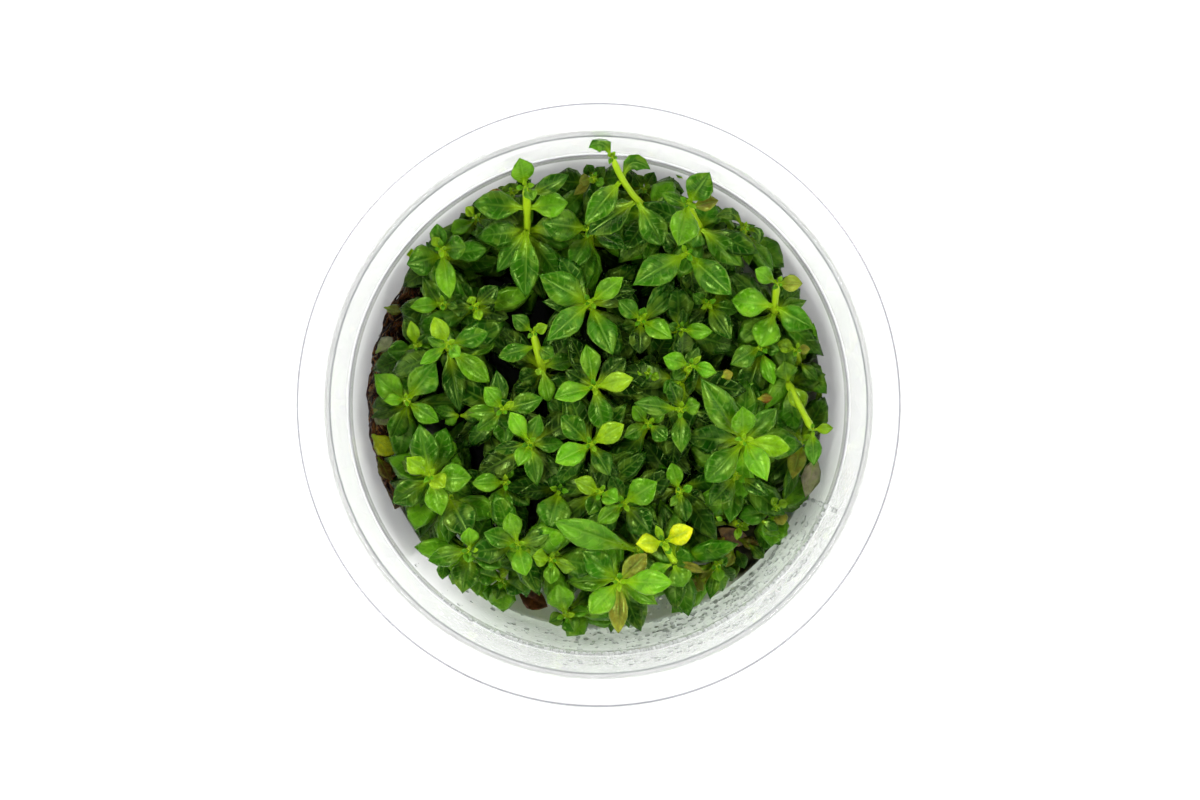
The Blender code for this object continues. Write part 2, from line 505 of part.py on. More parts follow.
class Surface:
    """The surface of something already in place, which later leaves have to stay clear of."""

    def __init__(self, owner, points, faces):
        self.owner = owner
        self.tree = BVHTree.FromPolygons(points, faces)
        self.samples = list(points)
        for face in faces:
            corners = [points[index] for index in face]
            self.samples.append(sum(corners, Vector()) / len(corners))
            self.samples.extend((a + b) / 2 for a, b in zip(corners, corners[1:] + corners[:1]))
        self.low = Vector([min(point[axis] for point in points) - GAP for axis in range(3)])
        self.high = Vector([max(point[axis] for point in points) + GAP for axis in range(3)])

    def far_from(self, other):
        return any(self.low[axis] > other.high[axis] or other.low[axis] > self.high[axis] for axis in range(3))

    def crosses(self, other):
        return not self.far_from(other) and bool(self.tree.overlap(other.tree))

    def nears(self, other, distance):
        """True where a sampled point of one lies within this distance of the other."""
        if self.far_from(other):
            return False
        if self.tree.overlap(other.tree):
            return True
        for one, two in ((self, other), (other, self)):
            for point in one.samples:
                if two.tree.find_nearest(point, distance)[0] is not None:
                    return True
        return False


class Stem:
    """A square stem from its pocket in the gel up through its nodes, in millimetres."""

    def __init__(self, number, foot, nodes):
        self.name = "shoot_%02d" % number
        self.foot = place(*foot, GEL_TOP)
        self.nodes = nodes
        top_x, top_y, top_z, first_leaf = nodes[0][:4]
        self.turn = math.atan2(first_leaf[1] - top_y, first_leaf[0] - top_x)
        self.centres = [place(*node[:3]) for node in reversed(nodes)]
        self.heights, self.node_segment = self.ring_heights()
        self.rings = [self.square(self.centre_at(height), height, STEM_HALF) for height in self.heights]
        self.apex = self.centres[-1] + Vector((0.0, 0.0, NODE_HALF + APEX_HEIGHT))
        self.leaves = {}

    def square(self, centre, height, half):
        corner = half * math.sqrt(2)
        turns = [self.turn + math.radians(45 + 90 * side) for side in range(4)]
        return [Vector((centre.x, centre.y, 0.0)) + polar(corner, turn, height) for turn in turns]

    def ring_heights(self):
        """Ring heights from the foot up, and for each node, bottom first, the segment that holds it."""
        heights = [STEM_FOOT, STEM_STRAIGHT_TOP]
        segments = []
        levels = [centre.z for centre in self.centres]
        for index, level in enumerate(levels):
            joined = index > 0 and level - levels[index - 1] < NODE_SHARING
            if not joined:
                heights.append(level - NODE_HALF)
            segments.append(len(heights) - 1)
            above = levels[index + 1] if index + 1 < len(levels) else None
            close = above is not None and above - level < NODE_SHARING
            heights.append((level + above) / 2 if close else level + NODE_HALF)
        return heights, segments

    def centre_at(self, height):
        path = [Vector((self.foot.x, self.foot.y, STEM_STRAIGHT_TOP))] + self.centres
        if height <= path[0].z:
            return path[0]
        for low, high in zip(path, path[1:]):
            if height <= high.z:
                return low.lerp(high, (height - low.z) / (high.z - low.z))
        return path[-1]

    def leaf_requests(self):
        """The leaves of the nodes, each on the free side of the stem that faces it best."""
        wanted = []
        for level, node in enumerate(self.nodes):
            segment = self.node_segment[len(self.nodes) - 1 - level]
            free = [0, 1, 2, 3]
            for tip_x, tip_y, width, tint, *bow in node[3:]:
                heading = math.atan2(tip_y - node[1], tip_x - node[0])
                turns = [self.turn + math.radians(90 * side) - heading for side in range(4)]
                side = max(free, key=lambda candidate: math.cos(turns[candidate]))
                free.remove(side)
                corners = self.side_corners(segment, side)
                base = sum(corners, Vector()) / 4
                base.z = node[2]
                reach = math.hypot(tip_x - node[0], tip_y - node[1])
                if reach >= SHORTEST_LEAF:
                    wanted.append(Leaf(self, segment, side, base, node[:3], (tip_x, tip_y), width, tint,
                                       bow[0] if bow else 0.0, level))
        return wanted

    def side_corners(self, segment, side):
        """Corners of one side of the stem: low left, low right, high right, high left, from outside."""
        left = (side - 1) % 4
        low = self.rings[segment]
        high = self.rings[segment + 1]
        return [low[left], low[side], high[side], high[left]]

    def surface(self):
        points = [point for ring in self.rings for point in ring] + [self.apex]
        faces = ring_strip(len(self.rings), 4)[:-1]
        last = len(points) - 5
        faces.extend((last + side, last + (side + 1) % 4, len(points) - 1) for side in range(4))
        return Surface(self, points, faces)

    def build(self):
        """The stem's sides, with each side that bears a leaf opened into the leaf."""
        points = [point for ring in self.rings for point in ring] + [self.apex]
        faces = [(0, 1, 2, 3)]
        for segment in range(len(self.rings) - 1):
            for side in range(4):
                left = (side - 1) % 4
                low = 4 * segment
                frame = (low + left, low + side, low + 4 + side, low + 4 + left)
                if (segment, side) in self.leaves:
                    start = len(points)
                    ring_points = self.leaves[segment, side]
                    points.extend(ring_points)
                    faces.extend(base_faces(frame, start))
                    faces.extend(blade_faces(start, len(ring_points)))
                else:
                    faces.append(frame)
        last = 4 * (len(self.rings) - 1)
        apex = 4 * len(self.rings)
        faces.extend((last + side, last + (side + 1) % 4, apex) for side in range(4))
        return from_faces(points, faces)


def midrib(base, control, tip, share):
    """Point and direction at this share of a quadratic curve from base to tip."""
    rest = 1.0 - share
    point = base * rest ** 2 + control * (2 * share * rest) + tip * share ** 2
    heading = (control - base) * rest + (tip - control) * share
    return point, heading.normalized()


def blade_points(base, control, tip, width, keel, rings):
    """Rings of left edge, right edge and keel along the midrib, and the tip last."""
    points = []
    for share, breadth in rings:
        middle, heading = midrib(base, control, tip, share)
        across = Vector((-heading.y, heading.x, 0.0)).normalized()
        up = heading.cross(across)
        points.append(middle + across * (width * breadth / 2))
        points.append(middle - across * (width * breadth / 2))
        points.append(middle - up * keel)
    points.append(tip)
    return points


def base_faces(frame, start):
    """Faces from a side of the stem to the first ring of a leaf."""
    low_left, low_right, high_right, high_left = frame
    left, right, keel = start + 1, start, start + 2
    return [
        (high_left, high_right, right, left),
        (high_right, low_right, keel, right),
        (low_left, high_left, left, keel),
        (low_left, keel, low_right),
    ]


def blade_faces(start, count):
    """Faces between a leaf's rings of three points and out to its tip."""
    rings = (count - 1) // 3
    faces = []
    for ring in range(rings - 1):
        near = start + 3 * ring
        for index in range(3):
            following = (index + 1) % 3
            faces.append((near + index, near + 3 + index, near + 3 + following, near + following))
    last = start + 3 * (rings - 1)
    tip = start + count - 1
    faces.extend((last + index, tip, last + (index + 1) % 3) for index in range(3))
    return faces


def leaf_shape(leaf, slope, length_share):
    """A leaf's points for one slope and length. Its tip stays on the line of sight it is listed on."""
    node_x, node_y, node_z = leaf.node
    seen_x = node_x + (leaf.tip[0] - node_x) * length_share
    seen_y = node_y + (leaf.tip[1] - node_y) * length_share
    reach = math.hypot(seen_x - node_x, seen_y - node_y)
    tip = place(seen_x, seen_y, node_z + slope * reach)
    control = leaf.base.lerp(tip, CONTROL_SHARE)
    control.z = node_z + (slope + ARCH) * CONTROL_SHARE * reach
    run = Vector((tip.x - leaf.base.x, tip.y - leaf.base.y, 0.0)).normalized()
    control += Vector((-run.y, run.x, 0.0)) * (2 * leaf.bow * length_share)
    rings = SMALL_LEAF_RINGS if leaf.width < SMALL_LEAF or leaf.tint == "K" else LEAF_RINGS
    keel = min(KEEL, KEEL_SHARE * leaf.width)
    return blade_points(leaf.base, control, tip, leaf.width, keel, rings)


def inside_cup(points):
    """True where all points lie between the gel and the highest leaf, clear of the wall."""
    for point in points:
        if not GEL_WALL_TOP + GAP < point.z < HIGHEST_LEAF:
            return False
        if math.hypot(point.x, point.y) > on_outline(CUP_INSIDE, point.z) * FLAT_SHARE - WALL_CLEAR:
            return False
    return True


def fits(leaf, points, surfaces):
    """True where these leaf points stay in the cup, clear of other pieces and off the own shoot."""
    if not inside_cup(points):
        return False
    frame = leaf.shoot.side_corners(leaf.segment, leaf.side)
    base = Surface(leaf.shoot, frame + points[:3], base_faces((0, 1, 2, 3), 4))
    blade = Surface(leaf.shoot, points, blade_faces(0, len(points)))
    for surface in surfaces:
        if surface.owner is leaf.shoot:
            if blade.crosses(surface):
                return False
        elif blade.nears(surface, GAP) or base.nears(surface, GAP):
            return False
    return True


def grow_leaves(stems, surfaces):
    """Place the leaves from the highest node down, each in its first shape that fits."""
    requests = [leaf for stem in stems for leaf in stem.leaf_requests()]
    requests.sort(key=lambda leaf: -leaf.node[2])
    for leaf in requests:
        first = SLOPES[min(leaf.level, len(SLOPES) - 1)]
        slopes = [first + step for step in SLOPE_STEPS if LOWEST <= first + step <= STEEPEST]
        shapes = (leaf_shape(leaf, slope, share) for share in LENGTH_SHARES for slope in slopes)
        chosen = next((points for points in shapes if fits(leaf, points, surfaces)), None)
        if chosen:
            leaf.shoot.leaves[leaf.segment, leaf.side] = chosen
            frame = leaf.shoot.side_corners(leaf.segment, leaf.side)
            surfaces.append(Surface(leaf.shoot, frame + chosen[:3], base_faces((0, 1, 2, 3), 4)[1:]))
            surfaces.append(Surface(leaf.shoot, chosen, blade_faces(0, len(chosen))))
    return len(requests)


def mat_shape():
    """The root mat as rings of five points, following the wall outside and lumpy inside and on top."""
    points = []
    for column in range(MAT_COLUMNS + 1):
        share = column / MAT_COLUMNS
        angle = MAT_START + (MAT_END - MAT_START) * share
        bulge = math.exp(-((angle - MAT_BULGE_MIDDLE) / MAT_BULGE_SPREAD) ** 2)
        lump = MAT_LUMP * (math.sin(2.4 * column) + math.sin(5.1 * column + 1.0) / 2)
        rise = MAT_END_SHARE + (1.0 - MAT_END_SHARE) * math.sin(math.pi * share)
        high = MAT_LOW + (MAT_HIGH - MAT_LOW) * rise + lump
        shoulder = high - MAT_OUTER_DROP
        inner = MAT_INNER_RADIUS - MAT_BULGE * bulge - lump / 2
        crest = (inner + on_outline(CUP_INSIDE, high)) / 2
        points.append(polar(on_outline(CUP_INSIDE, MAT_LOW) * FLAT_SHARE - MAT_WALL_GAP, angle, MAT_LOW))
        points.append(polar(on_outline(CUP_INSIDE, shoulder) * FLAT_SHARE - MAT_WALL_GAP, angle, shoulder))
        points.append(polar(crest, angle, high))
        points.append(polar(inner, angle, high - MAT_INNER_DROP))
        points.append(polar(inner, angle, MAT_LOW))
    return points, ring_strip(MAT_COLUMNS + 1, 5)


def old_leaf_shape(start, tip, width, keel, sag):
    """A withered leaf, pointed at both ends and bent along its midrib."""
    low = place(*start)
    high = place(*tip)
    control = low.lerp(high, 0.5) + Vector((0.0, 0.0, sag))
    points = blade_points(low, control, high, width, keel, OLD_LEAF_RINGS) + [low]
    faces = blade_faces(0, len(points) - 1)
    faces.extend(((1, 0, len(points) - 1), (0, 2, len(points) - 1), (2, 1, len(points) - 1)))
    return points, faces


def main():
    for old in list(bpy.data.objects):
        bpy.data.objects.remove(old)
    make_cup()
    make_label()

    stems = [Stem(index + 1, foot, nodes) for index, (foot, nodes) in enumerate(SHOOTS)]
    make_gel(stems)
    surfaces = [stem.surface() for stem in stems]

    points, faces = mat_shape()
    surfaces.append(Surface(None, points, faces))
    add_object("root_mat", from_faces(points, faces), material("old roots", (0.16, 0.08, 0.04), 0.85))

    for number, old_leaf in enumerate(OLD_LEAVES, start=1):
        points, faces = old_leaf_shape(*old_leaf)
        surfaces.append(Surface(None, points, faces))
        name = "old_leaf_%d" % number
        add_object(name, from_faces(points, faces), material("withered leaf %d" % number, TINTS["R"], 0.7))

    wanted = grow_leaves(stems, surfaces)
    grown = sum(len(stem.leaves) for stem in stems)
    print("leaves grown: %d of %d" % (grown, wanted))
    for stem in stems:
        main_tint = stem.nodes[-1][3][3]
        finish = material(stem.name + " leaf", TINTS[main_tint], 0.35)
        add_object(stem.name, stem.build(), finish, origin=stem.foot)


main()
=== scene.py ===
# %% [markdown]
# # Ludwigia repens in its culture cup
#
# A low clear cup, seen from straight above, is packed with young shoots of Ludwigia repens. They
# stand in pale gel. This file gives the solids of that cup their looks: clear plastic, a wrapped
# label, wet gel, old roots, drops on the wall, and some hundreds of waxy leaves.
#
# Every new piece is a surface worked out with numpy, so each cell says which formula it uses.

# %% Load the solids
import math

import bpy
import numpy as np
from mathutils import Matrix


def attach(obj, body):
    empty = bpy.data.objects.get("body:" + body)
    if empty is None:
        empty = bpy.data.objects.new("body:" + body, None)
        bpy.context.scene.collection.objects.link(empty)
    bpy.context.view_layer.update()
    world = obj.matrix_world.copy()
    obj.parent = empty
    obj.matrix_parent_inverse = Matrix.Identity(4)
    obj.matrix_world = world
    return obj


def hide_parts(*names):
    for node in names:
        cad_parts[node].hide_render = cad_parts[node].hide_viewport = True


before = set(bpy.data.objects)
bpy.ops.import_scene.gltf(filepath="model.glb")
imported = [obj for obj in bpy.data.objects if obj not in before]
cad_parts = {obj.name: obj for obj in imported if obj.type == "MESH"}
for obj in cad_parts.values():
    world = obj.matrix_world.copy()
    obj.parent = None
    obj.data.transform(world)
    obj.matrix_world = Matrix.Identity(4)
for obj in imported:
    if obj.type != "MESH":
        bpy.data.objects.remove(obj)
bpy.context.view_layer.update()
MM = 0.001


# %% [markdown]
# ## The eye
#
# The cup was looked at from straight above, a little off its middle. A long lens far away keeps the
# wall almost edge-on, and a short one close by would show more of it. The width of the rim against
# the width of the gel tells which one it was: the eye is 600 mm above the rim.

# %% Camera
EYE = np.array([0.23, 0.81, 650.0])
SENSOR_WIDTH = 36.0
VIEW_WIDTH = 198.5
RIM_HEIGHT = 50.0

eye = bpy.data.cameras.new("eye")
eye.sensor_width = SENSOR_WIDTH
eye.lens = SENSOR_WIDTH * (EYE[2] - RIM_HEIGHT) / VIEW_WIDTH
eye.clip_start = 0.01
eye.clip_end = 20.0
camera = bpy.data.objects.new("eye", eye)
camera.location = EYE * MM
bpy.context.scene.collection.objects.link(camera)
bpy.context.scene.camera = camera
print("lens in mm:", round(eye.lens, 1))

# %% [markdown]
# ## Floor and light
#
# Clear plastic has no colour of its own. It shows as thin grey lines where a rounded edge bends the
# view towards something darker. In an evenly white room it would vanish, so the sky here is white
# half-way up, greyer near the horizon and dark right overhead, where the eye is. The dark spot also
# keeps a grey haze off the leaves. Four soft lamps put the pale sheen on their raised halves.

# %% Helpers for shader nodes
def fill_inputs(tree, node, inputs):
    """Set each named input to its number or colour, or link it to the output given for it."""
    for name, value in inputs.items():
        if isinstance(value, bpy.types.NodeSocket):
            tree.links.new(value, node.inputs[name])
        else:
            node.inputs[name].default_value = value


def add_node(tree, kind, inputs=None, **settings):
    """A shader node with these settings and inputs."""
    made = tree.nodes.new(kind)
    for name, value in settings.items():
        setattr(made, name, value)
    fill_inputs(tree, made, inputs or {})
    return made


def maths(tree, operation, first, second=0.0):
    return add_node(tree, "ShaderNodeMath", {0: first, 1: second}, operation=operation).outputs[0]


def plus(tree, first, second):
    return maths(tree, "ADD", first, second)


def minus(tree, first, second):
    return maths(tree, "SUBTRACT", first, second)


def times(tree, first, second):
    return maths(tree, "MULTIPLY", first, second)


def vector_maths(tree, operation, first, second=(0.0, 0.0, 0.0)):
    """A length, a distance or a dot product is a number, and what else this makes is a vector."""
    made = add_node(tree, "ShaderNodeVectorMath", {0: first, 1: second}, operation=operation)
    return made.outputs["Value" if operation in ("LENGTH", "DISTANCE", "DOT_PRODUCT") else "Vector"]


def step_between(tree, value, low, high):
    """A soft step: 0 where the value is at low, 1 where it is at high, and smooth in between."""
    span = {0: value, 1: low, 2: high}
    return add_node(tree, "ShaderNodeMapRange", span, interpolation_type="SMOOTHSTEP").outputs[0]


def fall_between(tree, value, low, high):
    """The same step downwards: 1 where the value is at low and 0 where it is at high."""
    return minus(tree, 1.0, step_between(tree, value, low, high))


def spread(tree, value, low, high, first, last):
    """A straight line: first where the value is at low and last where it is at high."""
    return add_node(tree, "ShaderNodeMapRange", {0: value, 1: low, 2: high, 3: first, 4: last}).outputs[0]


def mixed(tree, share, first, second):
    """The first colour where the share is 0 and the second where it is 1."""
    return add_node(tree, "ShaderNodeMix", {0: share, 6: first, 7: second}, data_type="RGBA").outputs[2]


def tinted(tree, share, first, second):
    """The first colour, multiplied by the second as far as the share says."""
    colours = {0: share, 6: first, 7: second}
    return add_node(tree, "ShaderNodeMix", colours, data_type="RGBA", blend_type="MULTIPLY").outputs[2]


def mottled(tree, pattern, low, high, first, second):
    """Two colours that blend where the pattern goes from low to high."""
    return mixed(tree, step_between(tree, pattern, low, high), first, second)


def own_place(tree):
    """The object's own coordinates, in metres."""
    return add_node(tree, "ShaderNodeTexCoord").outputs["Object"]


def own_surface(tree):
    """The piece's own two surface coordinates: across and along a leaf, or round and up a tube."""
    surface = add_node(tree, "ShaderNodeUVMap", uv_map="surface").outputs[0]
    split = add_node(tree, "ShaderNodeSeparateXYZ", {0: surface})
    return split.outputs["X"], split.outputs["Y"]


def own_tint(tree):
    return add_node(tree, "ShaderNodeAttribute", attribute_name="tint").outputs["Color"]


def noise(tree, scale, detail=2.0, roughness=0.5):
    """Cloudy noise on the object's coordinates. A scale of 1000 has lumps of a millimetre."""
    inputs = {"Vector": own_place(tree), "Scale": scale, "Detail": detail, "Roughness": roughness}
    return add_node(tree, "ShaderNodeTexNoise", inputs).outputs["Fac"]


def new_finish(name):
    """A material with its tree and its Principled shader."""
    made = bpy.data.materials.new(name)
    made.use_nodes = True
    return made, made.node_tree, made.node_tree.nodes["Principled BSDF"]


def bumped(tree, shader, height, depth, strength=1.0):
    """Give the shader a bump of this height pattern, with its depth in metres."""
    made = add_node(tree, "ShaderNodeBump", {"Height": height, "Distance": depth, "Strength": strength})
    tree.links.new(made.outputs["Normal"], shader.inputs["Normal"])


print("shader helpers ready")

# %% Sky, lamps and floor
SKY_STEPS = [(0.0, 1.1), (0.3, 1.6), (0.5, 1.1), (0.72, 0.2), (1.0, 0.06)]
SKY_STRENGTH = 1.2
LAMPS = [
    ((-0.40, 0.36, 0.62), 3.4), ((0.46, 0.34, 0.62), 2.5),
    ((0.44, -0.38, 0.62), 1.9), ((-0.46, -0.36, 0.62), 1.9),
]
LAMP_WIDTH = 0.26
FLOOR_HALF = 3.0

scene = bpy.context.scene
scene.view_settings.view_transform = "Standard"
scene.world = bpy.data.worlds.new("studio")
scene.world.use_nodes = True
sky = scene.world.node_tree
direction = add_node(sky, "ShaderNodeTexCoord").outputs["Generated"]
rise = add_node(sky, "ShaderNodeSeparateXYZ", {0: direction}).outputs["Z"]
sky_ramp = add_node(sky, "ShaderNodeValToRGB", {0: rise})
for step, (height, bright) in enumerate(SKY_STEPS):
    stop = sky_ramp.color_ramp.elements[step] if step < 2 else sky_ramp.color_ramp.elements.new(height)
    stop.position = height
    stop.color = (bright, bright, bright, 1.0)
sky.links.new(sky_ramp.outputs[0], sky.nodes["Background"].inputs["Color"])
sky.nodes["Background"].inputs["Strength"].default_value = SKY_STRENGTH

for number, (lamp_place, power) in enumerate(LAMPS, start=1):
    lamp = bpy.data.lights.new("soft_lamp_%d" % number, "AREA")
    lamp.shape = "DISK"
    lamp.size = LAMP_WIDTH
    lamp.energy = power
    holder = bpy.data.objects.new(lamp.name, lamp)
    holder.location = lamp_place
    away = -np.array(lamp_place)
    pitch = math.acos(-away[2] / np.linalg.norm(away))
    holder.rotation_euler = (pitch, 0.0, math.atan2(-away[0], away[1]))
    scene.collection.objects.link(holder)

floor_mesh = bpy.data.meshes.new("floor")
floor_corners = [(x * FLOOR_HALF, y * FLOOR_HALF, 0) for x, y in ((-1, -1), (1, -1), (1, 1), (-1, 1))]
floor_mesh.from_pydata(floor_corners, [], [(0, 1, 2, 3)])
floor = bpy.data.objects.new("floor", floor_mesh)
scene.collection.objects.link(floor)
paper, paper_tree, paper_shader = new_finish("white paper")
grain = noise(paper_tree, 90.0)
paper_colour = mixed(paper_tree, grain, (0.93, 0.93, 0.93, 1.0), (0.95, 0.95, 0.95, 1.0))
fill_inputs(paper_tree, paper_shader, {"Base Color": paper_colour, "Roughness": 0.9})
floor_mesh.materials.append(paper)
print("lamps:", len(LAMPS))

# %% [markdown]
# ## From arrays to a mesh
#
# All pieces here come from the same two forms. One is a closed ring of points carried along a path,
# which makes a leaf, a stem, a fibre or the wall of the cup. The other is a set of such shapes joined
# in one mesh. A part is a dictionary of numpy arrays, so a hundred leaves are worked out at once.

# %% Parts made of rings
def ring_faces(count, rings, size):
    """Faces of shapes that are rings of points in a row, each with a closing point at either end.

    A shape has rings * size ring points, then its start point and its end point. The quads join ring
    point i of one ring to i and i + 1 of the next, and the triangles fan from the two closing points.
    """
    index = np.arange(size)
    following = (index + 1) % size
    near = (np.arange(rings - 1) * size)[:, None]
    quads = np.stack([near + index, near + size + index, near + size + following, near + following], axis=-1)
    start = np.full(size, rings * size)
    end = start + 1
    last = (rings - 1) * size
    fans = np.concatenate([
        np.stack([index, following, start], axis=-1),
        np.stack([last + index, end, last + following], axis=-1),
    ])
    shift = (np.arange(count) * (rings * size + 2))[:, None, None]
    return (quads.reshape(-1, 4)[None] + shift).reshape(-1, 4), (fans[None] + shift).reshape(-1, 3)


def ringed_part(rings, starts, ends, ring_uv=None, tint=None, finish=0):
    """A part from ring points (shapes, rings, size, 3), with closing points (shapes, 3)."""
    count, ring_count, size = rings.shape[:3]
    points = np.concatenate([rings.reshape(count, -1, 3), starts[:, None], ends[:, None]], axis=1)
    if ring_uv is None:
        around = np.linspace(0.0, 1.0, size)
        along = np.linspace(0.0, 1.0, ring_count)
        ring_uv = np.stack(np.broadcast_arrays(around[None, :], along[:, None]), axis=-1)
    ends_uv = np.array([[0.5, 0.0], [0.5, 1.0]])
    uv = np.concatenate([ring_uv.reshape(-1, 2), ends_uv])
    if tint is None:
        tint = np.ones((count, 3))
    quads, triangles = ring_faces(count, ring_count, size)
    per_shape = points.shape[1]
    return {
        "points": points.reshape(-1, 3),
        "uv": np.tile(uv, (count, 1)),
        "tint": np.repeat(tint, per_shape, axis=0),
        "quads": quads,
        "triangles": triangles,
        "finish": finish,
    }


def new_piece(name, parts, finishes, replaced=()):
    """Join parts into one mesh in metres, with its UVs and tints, and let it ride on the cup's body."""
    shifts = np.cumsum([0] + [len(part["points"]) for part in parts])
    points = np.concatenate([part["points"] for part in parts]) * MM
    uv = np.concatenate([part["uv"] for part in parts])
    tint = np.concatenate([part["tint"] for part in parts])
    quads = np.concatenate([part["quads"] + shift for part, shift in zip(parts, shifts)])
    triangles = np.concatenate([part["triangles"] + shift for part, shift in zip(parts, shifts)])
    quad_finish = np.concatenate([np.full(len(part["quads"]), part["finish"]) for part in parts])
    triangle_finish = np.concatenate([np.full(len(part["triangles"]), part["finish"]) for part in parts])

    mesh = bpy.data.meshes.new(name)
    mesh.vertices.add(len(points))
    mesh.vertices.foreach_set("co", points.ravel())
    loops = np.concatenate([quads.ravel(), triangles.ravel()])
    sizes = np.concatenate([np.full(len(quads), 4), np.full(len(triangles), 3)])
    mesh.loops.add(len(loops))
    mesh.loops.foreach_set("vertex_index", loops)
    mesh.polygons.add(len(sizes))
    mesh.polygons.foreach_set("loop_start", np.cumsum(sizes) - sizes)
    mesh.polygons.foreach_set("material_index", np.concatenate([quad_finish, triangle_finish]))
    mesh.update(calc_edges=True)
    mesh.uv_layers.new(name="surface").data.foreach_set("uv", uv[loops].ravel())
    colours = np.concatenate([tint, np.ones((len(tint), 1))], axis=1)
    mesh.attributes.new("tint", "FLOAT_COLOR", "POINT").data.foreach_set("color", colours.ravel())
    mesh.shade_smooth()
    for finish in finishes:
        mesh.materials.append(finish)

    made = bpy.data.objects.new(name, mesh)
    bpy.context.scene.collection.objects.link(made)
    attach(made, "root")
    if replaced:
        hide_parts(*replaced)
    return made


def unit(vectors):
    return vectors / np.maximum(np.linalg.norm(vectors, axis=-1, keepdims=True), 1e-9)


def tubes(paths, radii, sides, tint=None, finish=0):
    """Round tubes along paths (shapes, steps, 3), with a radius for each step.

    At each step the ring lies square to the path: its two axes are the cross products of the path's
    direction with X and with the first axis.
    """
    heading = unit(np.gradient(paths, axis=1))
    across = unit(np.cross(heading, np.array([1.0, 0.15, 0.05])))
    up = np.cross(heading, across)
    turn = np.linspace(0.0, 2 * np.pi, sides, endpoint=False)
    ring = np.cos(turn)[:, None] * across[:, :, None] + np.sin(turn)[:, None] * up[:, :, None]
    rings = paths[:, :, None] + radii[..., None, None] * ring
    rings = rings[:, :, ::-1]
    tip = paths[:, -1] + heading[:, -1] * radii[:, -1, None] * 0.5
    foot = paths[:, 0] - heading[:, 0] * radii[:, 0, None] * 0.5
    return ringed_part(rings, foot, tip, tint=tint, finish=finish)


print("mesh helpers ready")

# %% [markdown]
# ## The shoots, as they look from above
#
# A young stem carries its leaves in opposite pairs, and each pair stands crosswise to the one below.
# The shoots are listed as the eye sees them: the foot of the stem, then its nodes from the top down,
# and for each node the tips of its leaves. A place is written on a plane near the leaf tops, and a
# point at another height lies on the same line of sight. The letters are tints: V is yellow, Y is a
# bright young tip, then L, G and D are darker greens, K is a near-black green that paints the deep
# shade on leaves low in the cushion, O and R are yellowed and reddened leaves, and W is a bleached
# one.

# %% Table of the shoots
TINTS = {
    "V": (0.42, 0.50, 0.004),
    "Y": (0.18, 0.34, 0.004),
    "L": (0.070, 0.225, 0.003),
    "G": (0.019, 0.102, 0.0010),
    "D": (0.004, 0.048, 0.0006),
    # K is painted shade: a near-black green for leaves deep in the cushion.
    "K": (0.0012, 0.023, 0.0004),
    "O": (0.19, 0.18, 0.02),
    "R": (0.16, 0.055, 0.01),
    "W": (0.34, 0.31, 0.22),
}

